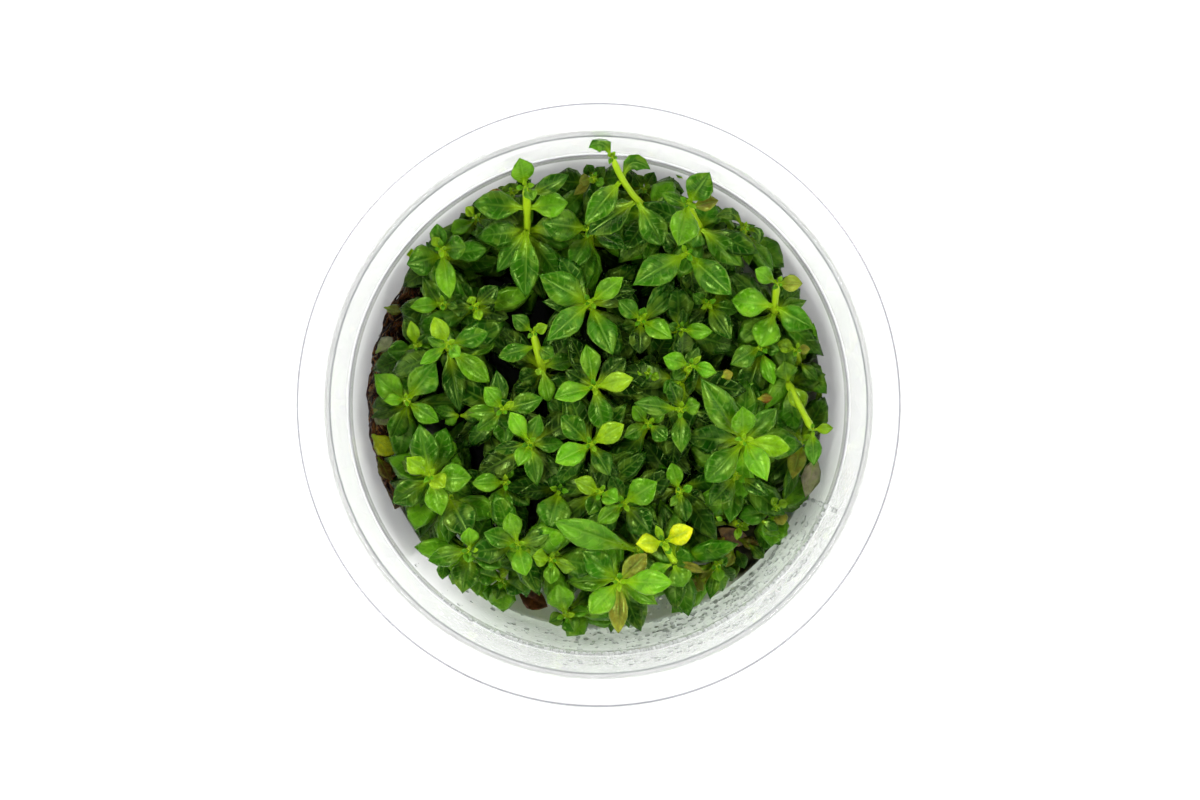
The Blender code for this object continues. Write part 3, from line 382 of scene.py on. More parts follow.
SHOOTS = [
    ((-26.0, 23.0), [
        (-26.4, 26.2, 37.0, (-22.2, 26.6, 3.8, "G"), (-27.9, 28.2, 1.6, "Y")),
        (-26.3, 25.8, 35.6, (-27.2, 30.5, 2.8, "G"), (-25.0, 17.8, 3.3, "L")),
        (-26.2, 25.2, 33.8, (-32.3, 23.6, 4.8, "G"), (-18.6, 26.2, 3.2, "G")),
        (-26.1, 24.6, 31.5, (-29.8, 28.1, 1.2, "D")),
    ]),
    ((-20.2, 28.8), [
        (-20.6, 31.4, 33.0, (-22.4, 33.3, 1.8, "Y"), (-18.6, 29.3, 2.4, "D")),
        (-20.5, 31.0, 31.0, (-24.9, 29.1, 2.8, "L"), (-17.0, 31.6, 2.6, "D")),
    ]),
    ((-14.8, 32.0), [
        (-14.6, 35.6, 33.5, (-15.3, 38.2, 2.6, "D"), (-14.0, 32.9, 2.0, "D")),
        (-14.8, 35.2, 31.5, (-19.1, 35.3, 2.0, "R"), (-11.3, 37.9, 2.2, "D")),
        (-14.9, 34.9, 29.8, (-17.4, 37.2, 1.5, "D")),
    ]),
    ((-12.0, 24.5), [
        (-12.3, 36.6, 42.0, (-13.4, 42.1, 3.6, "L"), (-10.9, 34.4, 2.2, "L")),
        (-12.1, 35.0, 40.3, (-5.0, 38.7, 2.7, "D")),
        (-12.0, 33.1, 38.3, (-21.2, 33.9, 4.4, "G"), (-5.1, 34.0, 4.3, "L")),
        (-12.0, 29.6, 34.8, (-17.2, 22.2, 3.4, "G"), (-12.3, 18.0, 4.7, "G")),
    ]),
    ((-1.0, 25.5), [
        (-1.6, 29.6, 34.5, (-9.6, 30.6, 5.0, "G"), (4.6, 26.4, 3.0, "D")),
        (-1.5, 29.0, 32.0, (-4.6, 22.9, 3.6, "G"), (0.6, 34.5, 3.0, "K")),
    ]),
    ((-1.5, 34.5), [
        (-0.9, 38.2, 34.5, (0.9, 37.0, 1.5, "L"), (-3.3, 37.5, 2.0, "O")),
        (-1.0, 38.0, 33.0, (-2.2, 40.7, 2.0, "D"), (-4.3, 35.2, 1.5, "O")),
        (-1.0, 37.6, 31.4, (1.3, 40.4, 2.0, "D")),
    ]),
    ((11.0, 29.0), [
        (2.3, 41.6, 45.0, (-2.7, 43.6, 2.8, "G", -1.8)),
        (3.8, 37.8, 41.8, (11.4, 40.5, 2.9, "G", 3.3), (-2.4, 30.2, 3.8, "G")),
        (6.4, 34.3, 38.4, (-2.0, 28.6, 5.2, "D"), (10.9, 26.7, 4.4, "G")),
        (8.6, 32.6, 36.0, (12.7, 38.2, 3.4, "D")),
    ]),
    ((7.0, 34.8), [
        (7.6, 36.2, 32.0, (5.9, 38.8, 2.2, "D"), (9.8, 39.9, 2.2, "D")),
        (7.5, 36.2, 30.0, (11.9, 35.0, 2.8, "K")),
    ]),
    ((18.0, 27.5), [
        (15.0, 33.8, 42.0, (19.1, 39.7, 4.3, "G"), (13.4, 26.6, 4.8, "L")),
        (15.3, 33.2, 40.4, (20.2, 34.4, 3.0, "O"), (10.6, 35.6, 2.0, "G")),
        (17.0, 29.8, 37.0, (24.3, 23.2, 4.0, "G"), (15.8, 26.4, 3.2, "D")),
    ]),
    ((23.4, 26.2), [
        (24.5, 29.6, 35.5, (19.4, 31.3, 1.9, "D", -1.7), (26.9, 27.0, 1.9, "D", 1.0)),
        (24.4, 28.9, 33.3, (29.4, 22.4, 2.7, "G"), (25.3, 23.4, 2.1, "L")),
    ]),
    ((30.2, 14.8), [
        (30.0, 20.4, 39.5, (26.3, 22.8, 2.7, "L"), (34.3, 20.4, 2.6, "O")),
        (29.6, 16.6, 36.8, (22.3, 17.7, 4.5, "L"), (36.2, 12.9, 4.3, "G")),
        (29.6, 15.6, 34.5, (27.1, 9.6, 4.5, "L"), (35.0, 17.6, 2.6, "G")),
    ]),
    ((15.2, 23.5), [
        (14.8, 25.4, 36.5, (5.7, 20.1, 5.0, "G"), (22.4, 18.5, 4.6, "G")),
        (14.9, 24.9, 33.0, (20.4, 27.3, 3.0, "K"), (10.2, 29.6, 3.4, "D")),
        (15.0, 24.3, 29.5, (16.2, 18.6, 3.0, "K")),
    ]),
    ((27.0, 9.0), [
        (27.4, 9.9, 32.5, (22.1, 6.7, 3.5, "G"), (30.5, 9.2, 2.4, "G")),
        (27.3, 9.2, 30.5, (29.5, 3.2, 2.6, "L"), (23.4, 14.2, 3.2, "K")),
        (27.2, 8.8, 28.0, (24.5, 0.6, 4.6, "D"), (22.0, 10.2, 3.2, "D")),
    ]),
    ((33.6, 6.4), [
        (33.2, 9.2, 32.0, (30.0, 10.3, 2.4, "Y"), (35.6, 9.4, 1.6, "O")),
        (33.6, 7.2, 29.5, (34.9, 8.8, 1.0, "Y"), (36.9, 4.0, 2.2, "G")),
    ]),
    ((31.0, 4.6), [
        (35.9, -4.2, 37.0, (39.5, -3.9, 1.7, "Y"), (36.2, -10.3, 2.6, "G")),
        (31.9, 3.6, 31.5, (31.2, 7.4, 3.4, "L"), (34.5, -1.0, 3.2, "Y")),
    ]),
    ((13.7, 3.0), [
        (15.4, 6.6, 38.0, (19.9, 5.4, 2.6, "L"), (10.8, 8.0, 3.0, "L")),
        (15.1, 6.2, 36.4, (17.3, 8.3, 0.9, "Y"), (12.5, 4.5, 2.4, "G")),
        (14.0, 4.2, 34.2, (10.8, 2.0, 2.6, "G"), (16.9, 9.9, 2.6, "D")),
    ]),
    ((13.7, 11.6), [
        (13.9, 12.6, 35.0, (19.2, 12.3, 2.6, "L"), (11.6, 13.5, 1.5, "G")),
        (13.8, 12.3, 33.0, (14.2, 16.3, 1.7, "D"), (14.3, 9.4, 2.0, "D")),
    ]),
    ((18.4, 16.0), [
        (18.4, 16.9, 32.0, (22.3, 10.9, 3.3, "D"), (15.8, 18.6, 2.1, "G")),
        (18.5, 16.7, 29.5, (23.7, 15.9, 2.6, "G"), (15.1, 13.6, 2.2, "K")),
    ]),
    ((7.6, 13.0), [
        (7.1, 14.3, 36.0, (3.3, 17.6, 2.9, "G"), (12.4, 11.1, 3.5, "L")),
        (7.0, 14.0, 34.0, (7.8, 16.4, 1.4, "L"), (6.9, 8.5, 3.4, "K")),
        (7.1, 13.7, 31.5, (13.0, 19.1, 3.0, "D"), (3.8, 12.9, 2.4, "D")),
    ]),
    ((-1.6, 16.0), [
        (-1.4, 17.3, 39.0, (4.2, 21.5, 3.1, "L"), (-8.8, 10.7, 3.9, "G")),
        (-1.5, 17.0, 37.0, (-10.1, 21.9, 5.3, "G"), (2.4, 8.3, 5.2, "G")),
        (-1.5, 16.6, 33.5, (6.4, 19.4, 3.2, "K"), (-9.6, 17.4, 2.8, "D")),
    ]),
    ((-9.2, 4.8), [
        (-11.0, 12.2, 39.5, (-14.6, 15.1, 2.6, "G"), (-8.5, 13.4, 1.8, "Y")),
        (-10.5, 9.9, 37.8, (-16.9, 8.0, 2.8, "G"), (-7.5, 8.1, 2.5, "G")),
        (-9.6, 6.6, 36.3, (-10.3, 4.9, 1.2, "Y"), (-8.7, 8.2, 1.4, "Y")),
        (-9.5, 6.3, 35.0, (-8.2, 0.4, 2.8, "L"), (-4.1, 7.8, 3.0, "G")),
        (-9.4, 5.8, 33.2, (-13.4, 4.0, 3.2, "D")),
    ]),
    ((-20.6, 15.4), [
        (-20.8, 16.6, 36.0, (-21.7, 18.2, 1.6, "Y"), (-19.9, 14.2, 1.8, "Y")),
        (-20.8, 16.4, 33.6, (-16.9, 20.0, 3.0, "D"), (-25.0, 16.2, 2.8, "D")),
        (-20.7, 16.1, 31.0, (-15.0, 14.6, 3.3, "K"), (-24.2, 20.9, 2.8, "D")),
    ]),
    ((-26.0, 14.0), [
        (-26.2, 17.1, 34.0, (-31.8, 16.4, 2.5, "L"), (-23.6, 16.4, 1.4, "D")),
        (-26.0, 15.6, 31.5, (-29.6, 21.6, 3.0, "G"), (-22.9, 18.6, 2.2, "D")),
    ]),
    ((-30.2, 8.9), [
        (-30.7, 9.9, 33.0, (-31.6, 14.2, 2.0, "Y"), (-28.6, 11.9, 1.6, "D")),
        (-30.3, 9.2, 31.0, (-35.7, 9.0, 3.2, "G"), (-33.0, 5.9, 1.8, "D")),
        (-30.3, 9.0, 29.0, (-32.8, 15.1, 2.4, "D")),
    ]),
    ((-25.4, 8.4), [
        (-25.4, 10.3, 39.0, (-27.7, 14.8, 2.9, "Y"), (-23.3, 8.1, 2.3, "L")),
        (-25.4, 10.0, 37.4, (-30.1, 6.8, 2.0, "L"), (-18.4, 12.2, 3.3, "G")),
        (-25.3, 9.7, 35.6, (-18.3, 3.8, 3.5, "L"), (-28.9, 11.4, 2.0, "G")),
        (-25.3, 9.4, 33.8, (-23.3, -1.4, 3.7, "D")),
    ]),
    ((-31.4, 0.4), [
        (-32.2, 0.9, 34.5, (-36.2, 0.7, 2.1, "L"), (-27.3, 7.2, 4.8, "G")),
        (-32.2, 0.5, 32.8, (-26.8, -2.9, 3.1, "L"), (-37.8, 5.2, 4.0, "L")),
        (-32.2, 0.2, 31.0, (-34.8, -5.8, 3.5, "G"), (-34.2, 5.7, 2.8, "G")),
        (-32.2, 0.0, 29.0, (-38.4, -2.2, 2.0, "D")),
    ]),
    ((-15.6, -0.2), [
        (-16.0, -0.8, 38.0, (-19.2, 3.0, 3.1, "L"), (-14.2, 0.6, 1.2, "Y")),
        (-16.0, -0.9, 36.4, (-20.7, -4.5, 2.7, "G"), (-9.2, 1.2, 3.3, "G")),
        (-16.0, -1.0, 34.6, (-15.8, -6.8, 3.3, "G"), (-17.2, 5.9, 2.9, "D")),
        (-15.9, -1.0, 32.4, (-22.4, -1.4, 2.6, "L")),
    ]),
    ((-11.3, -6.0), [
        (-11.7, -6.3, 39.0, (-14.9, -1.2, 2.9, "L"), (-13.6, -10.4, 2.7, "L")),
        (-11.6, -6.5, 37.4, (-9.9, -1.5, 2.7, "G"), (-17.7, -7.6, 2.1, "D")),
        (-11.5, -6.7, 35.8, (-5.8, -6.5, 2.7, "G"), (-10.3, -13.8, 2.9, "G")),
    ]),
    ((-1.2, -6.0), [
        (-1.2, -6.6, 39.0, (4.3, -3.3, 3.3, "Y"), (-7.3, -9.7, 3.7, "L")),
        (-1.3, -6.7, 37.2, (-6.4, -1.8, 3.7, "G"), (1.9, -12.0, 3.5, "D")),
    ]),
    ((-0.6, 3.4), [
        (-0.7, 3.0, 40.0, (5.9, 4.5, 3.1, "Y"), (-7.5, 1.1, 3.7, "L")),
        (-0.8, 3.0, 38.2, (-2.1, 10.2, 3.5, "L"), (1.1, -4.5, 3.9, "G")),
        (-0.7, 3.1, 35.0, (4.6, 8.0, 3.4, "K"), (-5.8, 5.9, 2.6, "K")),
    ]),
    ((8.6, 6.4), [
        (8.3, 5.3, 33.0, (6.5, 5.6, 1.5, "Y"), (10.2, 4.4, 1.5, "Y")),
        (8.4, 5.8, 30.5, (8.8, 8.6, 2.2, "K"), (6.2, 2.8, 2.2, "D")),
    ]),
    ((13.4, -0.4), [
        (13.8, -0.8, 38.0, (5.9, 0.3, 3.1, "G"), (17.1, 0.1, 2.7, "L")),
        (13.8, -1.0, 36.0, (13.9, -8.2, 3.1, "G"), (12.0, 4.1, 2.8, "D")),
        (13.7, -1.0, 33.8, (19.4, -3.6, 2.8, "K")),
    ]),
    ((8.6, -3.9), [
        (8.3, -3.1, 36.0, (5.7, -0.2, 2.6, "L"), (11.5, -5.9, 2.8, "G")),
        (8.3, -3.3, 34.4, (11.1, -1.1, 2.0, "L"), (4.2, -5.5, 2.6, "G")),
        (8.4, -3.5, 32.0, (3.4, -2.3, 2.4, "K")),
    ]),
    ((13.4, -13.6), [
        (13.6, -14.7, 35.5, (15.8, -13.7, 1.3, "L"), (12.0, -17.1, 1.4, "L")),
        (13.5, -14.4, 33.0, (12.2, -9.7, 2.6, "L"), (14.8, -19.7, 2.8, "D")),
        (13.5, -14.1, 30.6, (7.9, -10.2, 3.3, "G"), (18.0, -16.5, 2.6, "K")),
    ]),
    ((24.4, -4.9), [
        (24.4, -5.8, 41.0, (24.2, -0.2, 4.1, "L"), (28.4, -12.9, 3.9, "L")),
        (24.3, -6.1, 39.4, (17.1, 4.6, 4.9, "G"), (32.3, -7.4, 3.4, "Y")),
        (24.3, -6.3, 37.6, (17.9, -13.0, 4.5, "G"), (30.0, -0.5, 3.3, "G")),
        (24.3, -6.2, 34.0, (15.6, -5.6, 4.6, "K")),
    ]),
    ((33.6, -7.0), [
        (34.2, -5.9, 28.0, (30.1, -0.9, 4.1, "D"), (32.6, -12.5, 2.9, "O")),
        (34.0, -6.4, 26.0, (31.3, -15.9, 2.6, "G")),
    ]),
    ((29.2, -18.0), [
        (29.9, -17.2, 31.0, (29.2, -15.6, 1.5, "Y"), (31.7, -16.2, 1.5, "Y")),
        (29.8, -17.6, 29.0, (23.5, -18.9, 3.3, "G"), (31.1, -20.2, 2.3, "O")),
        (29.6, -17.8, 27.0, (24.4, -15.7, 3.1, "D"), (27.8, -22.0, 2.7, "L")),
    ]),
    ((20.9, -19.6), [
        (23.7, -20.1, 28.0, (25.7, -19.6, 1.2, "Y"), (23.2, -22.8, 1.3, "Y")),
        (23.2, -20.0, 26.6, (25.3, -21.0, 1.1, "Y")),
    ]),
    ((19.6, -25.8), [
        (19.9, -26.8, 31.0, (17.9, -24.1, 2.3, "G"), (20.4, -29.8, 2.0, "L")),
        (19.7, -27.2, 29.0, (21.7, -25.6, 1.7, "G"), (18.7, -32.8, 2.4, "G")),
        (19.6, -27.0, 26.5, (16.6, -30.6, 2.2, "O")),
    ]),
    ((13.0, -25.2), [
        (11.0, -23.1, 39.8, (15.9, -20.8, 3.3, "V"), (6.2, -23.4, 3.3, "V")),
        (11.1, -23.6, 38.4, (9.6, -20.2, 1.3, "Y"), (12.1, -25.1, 1.2, "L")),
        (12.6, -26.7, 35.6, (14.3, -30.7, 3.9, "L"), (8.3, -28.3, 2.3, "L")),
        (12.8, -26.2, 33.0, (17.9, -28.2, 1.6, "O"), (10.7, -16.4, 3.5, "D")),
    ]),
    ((4.6, -17.2), [
        (4.2, -16.5, 38.0, (9.9, -12.9, 4.3, "L"), (-0.3, -19.9, 2.9, "L")),
        (4.3, -16.7, 35.6, (8.7, -21.6, 4.7, "D"), (2.1, -11.8, 2.7, "D")),
    ]),
    ((-0.4, -13.6), [
        (0.3, -14.7, 39.5, (-4.1, -12.6, 2.9, "Y"), (3.3, -16.3, 3.1, "L")),
        (0.1, -14.5, 36.6, (-1.7, -18.6, 2.7, "G")),
    ]),
    ((6.9, -23.2), [
        (6.6, -24.5, 36.0, (-7.6, -19.5, 4.5, "L")),
        (6.7, -24.2, 33.5, (7.6, -18.2, 3.4, "K"), (10.0, -31.9, 3.2, "D")),
    ]),
    ((3.6, -28.4), [
        (3.5, -29.7, 41.0, (12.5, -29.9, 3.9, "L"), (-1.6, -35.2, 3.9, "L")),
        (3.4, -29.6, 39.4, (8.1, -25.0, 3.3, "O"), (3.3, -38.5, 2.9, "O")),
        (3.3, -29.5, 37.8, (-2.9, -24.5, 4.3, "G"), (10.0, -33.6, 2.7, "L")),
        (3.3, -29.4, 35.8, (-5.5, -29.7, 3.1, "L"), (7.5, -37.2, 4.3, "D")),
    ]),
    ((-7.8, -25.0), [
        (-7.9, -26.0, 39.0, (-11.2, -25.5, 2.8, "Y"), (-3.8, -27.6, 2.6, "Y")),
        (-7.9, -26.0, 37.3, (-7.7, -21.2, 2.5, "G"), (-8.0, -30.2, 2.6, "L")),
    ]),
    ((-13.8, -22.6), [
        (-13.6, -23.4, 39.5, (-15.0, -18.1, 3.0, "L"), (-12.2, -28.8, 3.4, "L")),
        (-13.6, -23.5, 38.0, (-19.4, -21.5, 3.3, "G"), (-8.1, -21.4, 2.7, "D")),
    ]),
    ((-21.4, -23.6), [
        (-21.6, -24.4, 38.0, (-21.8, -20.6, 2.9, "L"), (-22.0, -26.6, 1.9, "L")),
        (-21.7, -24.5, 36.4, (-28.7, -26.2, 3.3, "G"), (-16.2, -27.3, 3.9, "G")),
        (-21.8, -24.7, 34.0, (-22.9, -31.8, 4.5, "G")),
    ]),
    ((-16.4, -28.6), [
        (-16.2, -29.4, 31.5, (-20.8, -28.0, 3.1, "G"), (-12.5, -31.4, 3.1, "D")),
        (-16.2, -29.6, 29.5, (-17.2, -32.8, 2.4, "D")),
    ]),
    ((-6.4, -13.6), [
        (-6.6, -14.2, 34.5, (-8.2, -20.8, 5.3, "G")),
        (-6.6, -14.0, 32.0, (-13.3, -14.8, 2.6, "K"), (-3.9, -18.9, 2.6, "K")),
    ]),
    ((-27.6, -11.8), [
        (-28.4, -11.9, 38.0, (-32.3, -8.8, 3.3, "Y"), (-25.8, -13.9, 3.1, "Y")),
        (-28.2, -12.3, 36.4, (-26.4, -18.7, 3.7, "L"), (-21.3, -12.2, 4.5, "L")),
        (-28.2, -12.4, 34.8, (-34.7, -16.6, 4.3, "G"), (-30.2, -3.2, 4.5, "G")),
        (-28.2, -12.4, 32.4, (-30.0, -22.5, 3.9, "D"), (-33.5, -8.7, 2.8, "D")),
    ]),
    ((-24.6, -16.2), [
        (-25.1, -15.4, 34.5, (-24.8, -14.5, 1.0, "L"), (-21.8, -21.9, 5.1, "D")),
        (-25.0, -15.8, 32.4, (-25.3, -23.4, 2.9, "G")),
    ]),
    ((-15.8, -13.4), [
        (-15.6, -13.0, 34.0, (-21.4, -13.2, 2.9, "L"), (-14.9, -10.2, 1.7, "L")),
        (-15.6, -13.2, 31.8, (-17.3, -19.5, 3.9, "G"), (-11.6, -16.9, 3.2, "D")),
    ]),
    ((-5.2, -34.0), [
        (-5.5, -35.4, 33.5, (-7.0, -30.0, 4.3, "L"), (-4.0, -38.3, 2.9, "G")),
        (-5.4, -35.1, 32.0, (-1.5, -34.6, 2.0, "L"), (-8.4, -36.6, 2.3, "D")),
    ]),
    ((23.0, -12.6), [
        (23.3, -11.9, 33.5, (18.5, -17.0, 3.7, "D"), (28.7, -15.4, 2.8, "D")),
        (23.2, -12.1, 31.0, (22.0, -19.9, 3.3, "G")),
    ]),
]

print("shoots:", len(SHOOTS))

# %% [markdown]
# ## Where the leaves of the solids ended up
#
# In the solids each leaf was turned up or down until it cleared its neighbours, and some were made
# shorter. The finished leaves have to lie in the same places. So the height of each tip is read back
# from its solid: it is the corner that lies on the line of sight of the listed tip.

# %% Read the leaf tips back
SEEN_PLANE = 40.0
GEL_TOP = 14.0
STEM_FOOT = 10.6
STEM_STRAIGHT_TOP = 15.0
LENGTH_SHARES = (1.0, 0.9, 0.8, 0.65)
ARCH = 0.35
CONTROL_SHARE = 0.45
USUAL_SLOPES = (0.55, 0.30, 0.05, -0.15)
USUAL_SHARE = 0.8
TINY_LEAF = 1.3
CORNER_FITS = 0.05

rng = np.random.default_rng(54)


def place(seen_x, seen_y, height):
    """The point at this height on the line from the eye through (seen_x, seen_y) on the seen plane."""
    share = (EYE[2] - height) / (EYE[2] - SEEN_PLANE)
    return np.array([EYE[0] + (seen_x - EYE[0]) * share, EYE[1] + (seen_y - EYE[1]) * share, height])


def corners_of(name):
    """All corners of a solid in millimetres, and the same corners as seen on the plane."""
    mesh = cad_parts[name].data
    corners = np.empty(len(mesh.vertices) * 3)
    mesh.vertices.foreach_get("co", corners)
    corners = corners.reshape(-1, 3) / MM
    share = (EYE[2] - SEEN_PLANE) / (EYE[2] - corners[:, 2:])
    return corners, EYE[:2] + (corners[:, :2] - EYE[:2]) * share


def read_leaf(node, tip, corners, seen):
    """Length share and slope of one leaf, or the usual ones with False where no corner fits."""
    node, tip = np.array(node), np.array(tip)
    best = None
    for share in LENGTH_SHARES:
        target = node[:2] + (tip - node[:2]) * share
        distance = np.linalg.norm(seen - target, axis=1)
        nearest = int(distance.argmin())
        if best is None or distance[nearest] < best[0]:
            rise = (corners[nearest, 2] - node[2]) / np.linalg.norm(target - node[:2])
            best = (distance[nearest], share, rise)
    return best[1], best[2], best[0] < CORNER_FITS


leaves = []
missing = 0
for number, (foot, nodes) in enumerate(SHOOTS, start=1):
    corners, seen = corners_of("shoot_%02d" % number)
    for level, (x, y, z, *node_leaves) in enumerate(nodes):
        for tip_x, tip_y, width, letter, *bow in node_leaves:
            reach = math.hypot(tip_x - x, tip_y - y)
            share, slope, found = read_leaf((x, y, z), (tip_x, tip_y), corners, seen)
            if not found or reach < TINY_LEAF:
                missing += reach >= TINY_LEAF
                share, slope = USUAL_SHARE, USUAL_SLOPES[min(level, len(USUAL_SLOPES) - 1)]
            side_bow = bow[0] if bow else 0.0
            leaves.append((number, x, y, z, tip_x, tip_y, width, letter, side_bow, share, slope))
print("leaves:", len(leaves), "not in the solids:", missing)

# %% [markdown]
# ## The shape of one leaf
#
# A leaf of this plant is a pointed oval on a short stalk. Its midrib lies in a groove, each half is
# raised like a cushion, and the margin turns down a little. No two leaves have quite the same oval,
# so each draws its own two powers for the swelling and the point. The midrib is a quadratic curve.
# Across it the blade is a line of points whose height is a fold, plus a bulge of sin(pi * distance
# from the midrib), less the fourth power of that distance. A second line below closes the leaf.

# %% Leaf shape
FULL_LEAF = {
    "along": np.array([0.03, 0.12, 0.22, 0.36, 0.52, 0.68, 0.82, 0.93]),
    "top": np.array([-1.0, -0.91, -0.55, -0.13, 0.0, 0.13, 0.55, 0.91, 1.0]),
    "below": np.array([0.6, 0.0, -0.6]),
}
PLAIN_LEAF = {
    "along": np.array([0.05, 0.18, 0.38, 0.62, 0.85]),
    "top": np.array([-1.0, -0.55, 0.0, 0.55, 1.0]),
    "below": np.array([0.0]),
}
STALK_END = 0.13
STALK_WIDTH = 0.18
LEAF_THICKNESS = 0.24
ROLL = 0.22
SWELLING_RANGE = (1.1, 1.5)
POINT_RANGE = (1.05, 1.45)
FOLD_RANGE = (0.3, 1.7)
MARGIN_DROP = 0.14
TINT_JITTER = 0.12


def blade_breadth(along, swelling, point):
    """Share of the full width at this share of the length.

    Past the stalk it is b**swelling * (1 - b)**point with b from 0 to 1, scaled to a top of 1.
    """
    blade = np.clip((along - STALK_END) / (1.0 - STALK_END), 0.0, 1.0)
    both = swelling + point
    top = (swelling / both) ** swelling * (point / both) ** point
    oval = blade ** swelling * (1.0 - blade) ** point / top
    return STALK_WIDTH * (1.0 - blade) + (1.0 - STALK_WIDTH * (1.0 - blade)) * oval


def leaf_part(base, control, tip, width, tint, shape, fold=0.36, bulge=0.16, wave=0.09):
    """Closed leaves from (leaves, 3) arrays of base, control and tip, with their widths and tints.

    The midrib is base * (1 - t)**2 + control * 2t(1 - t) + tip * t**2. Across lies nearly level with
    the ground: each leaf is rolled about its midrib by a small angle of its own. Up is square to the
    midrib and to across. The fold is deepest at the stalk and opens towards the tip.
    """
    count = len(width)
    along = shape["along"][None, :, None]
    base, control, tip = base[:, None], control[:, None], tip[:, None]
    midrib = base * (1 - along) ** 2 + control * (2 * along * (1 - along)) + tip * along ** 2
    heading = unit((control - base) * (1 - along) + (tip - control) * along)
    level = heading[..., :2][..., ::-1] * np.array([-1.0, 1.0])
    across = unit(np.concatenate([level, np.zeros_like(level[..., :1])], axis=-1))
    up = np.cross(heading, across)
    roll = rng.normal(0.0, ROLL, (count, 1, 1))
    across, up = across * np.cos(roll) + up * np.sin(roll), up * np.cos(roll) - across * np.sin(roll)

    columns = np.concatenate([shape["top"], shape["below"]])
    under = np.arange(len(columns)) >= len(shape["top"])
    off = np.abs(columns)
    swelling, point = rng.uniform(*SWELLING_RANGE, (count, 1)), rng.uniform(*POINT_RANGE, (count, 1))
    half = width[:, None] / 2 * blade_breadth(shape["along"][None], swelling, point)
    phase = rng.uniform(0, 2 * np.pi, (count, 1, 1))
    ripple = wave * np.sin(11.0 * along + phase + 1.5 * np.sign(columns)) * off ** 2
    folded = fold * rng.uniform(*FOLD_RANGE, (count, 1, 1)) * (1.35 - 0.9 * along)
    height = folded * off + bulge * np.sin(np.pi * off) - MARGIN_DROP * off ** 4 + ripple
    thickness = LEAF_THICKNESS * (0.55 + 0.45 * np.exp(-shape["along"] / 0.2))[None, :, None]
    lift = half[..., None] * height - under * thickness * (1.0 - 0.7 * off ** 2)
    rings = midrib[:, :, None] + across[:, :, None] * (half[..., None] * columns)[..., None]
    rings = rings + up[:, :, None] * lift[..., None]
    ring_uv = np.stack(np.broadcast_arrays((columns[None] + 1) / 2, shape["along"][:, None]), axis=-1)
    start = base[:, 0] - (control - base)[:, 0] * 0.05
    return ringed_part(rings, start, tip[:, 0], ring_uv, tint)


def tint_of(letters):
    """Tints for a list of letters, each leaf a little lighter or darker, warmer or cooler."""
    tints = np.array([TINTS[letter] for letter in letters])
    light = rng.normal(1.0, TINT_JITTER, (len(letters), 1))
    warm = rng.normal(0.0, TINT_JITTER / 2, len(letters))
    tints = tints * light
    tints[:, 0] *= 1.0 + warm
    return np.clip(tints, 0.0004, 0.9)


def curves_of(x, y, z, tip_x, tip_y, share, slope, bow, stem_half):
    """Base, control and tip of listed leaves, from arrays of their numbers."""
    node = np.stack([x, y], axis=1)
    seen_tip = node + (np.stack([tip_x, tip_y], axis=1) - node) * share[:, None]
    reach = np.linalg.norm(seen_tip - node, axis=1)
    tip = place_all(seen_tip, z + slope * reach)
    base = place_all(node, z)
    run = unit(tip[:, :2] - base[:, :2])
    base[:, :2] += run * stem_half
    control = base + (tip - base) * CONTROL_SHARE
    control[:, 2] = z + (slope + ARCH) * CONTROL_SHARE * reach
    control[:, :2] += np.stack([-run[:, 1], run[:, 0]], axis=1) * (2 * bow * share)[:, None]
    return base, control, tip


def place_all(seen_points, heights):
    """The same as place, for (points, 2) seen places and their heights."""
    share = ((EYE[2] - heights) / (EYE[2] - SEEN_PLANE))[:, None]
    return np.concatenate([EYE[:2] + (seen_points - EYE[:2]) * share, heights[:, None]], axis=1)


print("points round a full leaf:", len(FULL_LEAF["top"]) + len(FULL_LEAF["below"]))
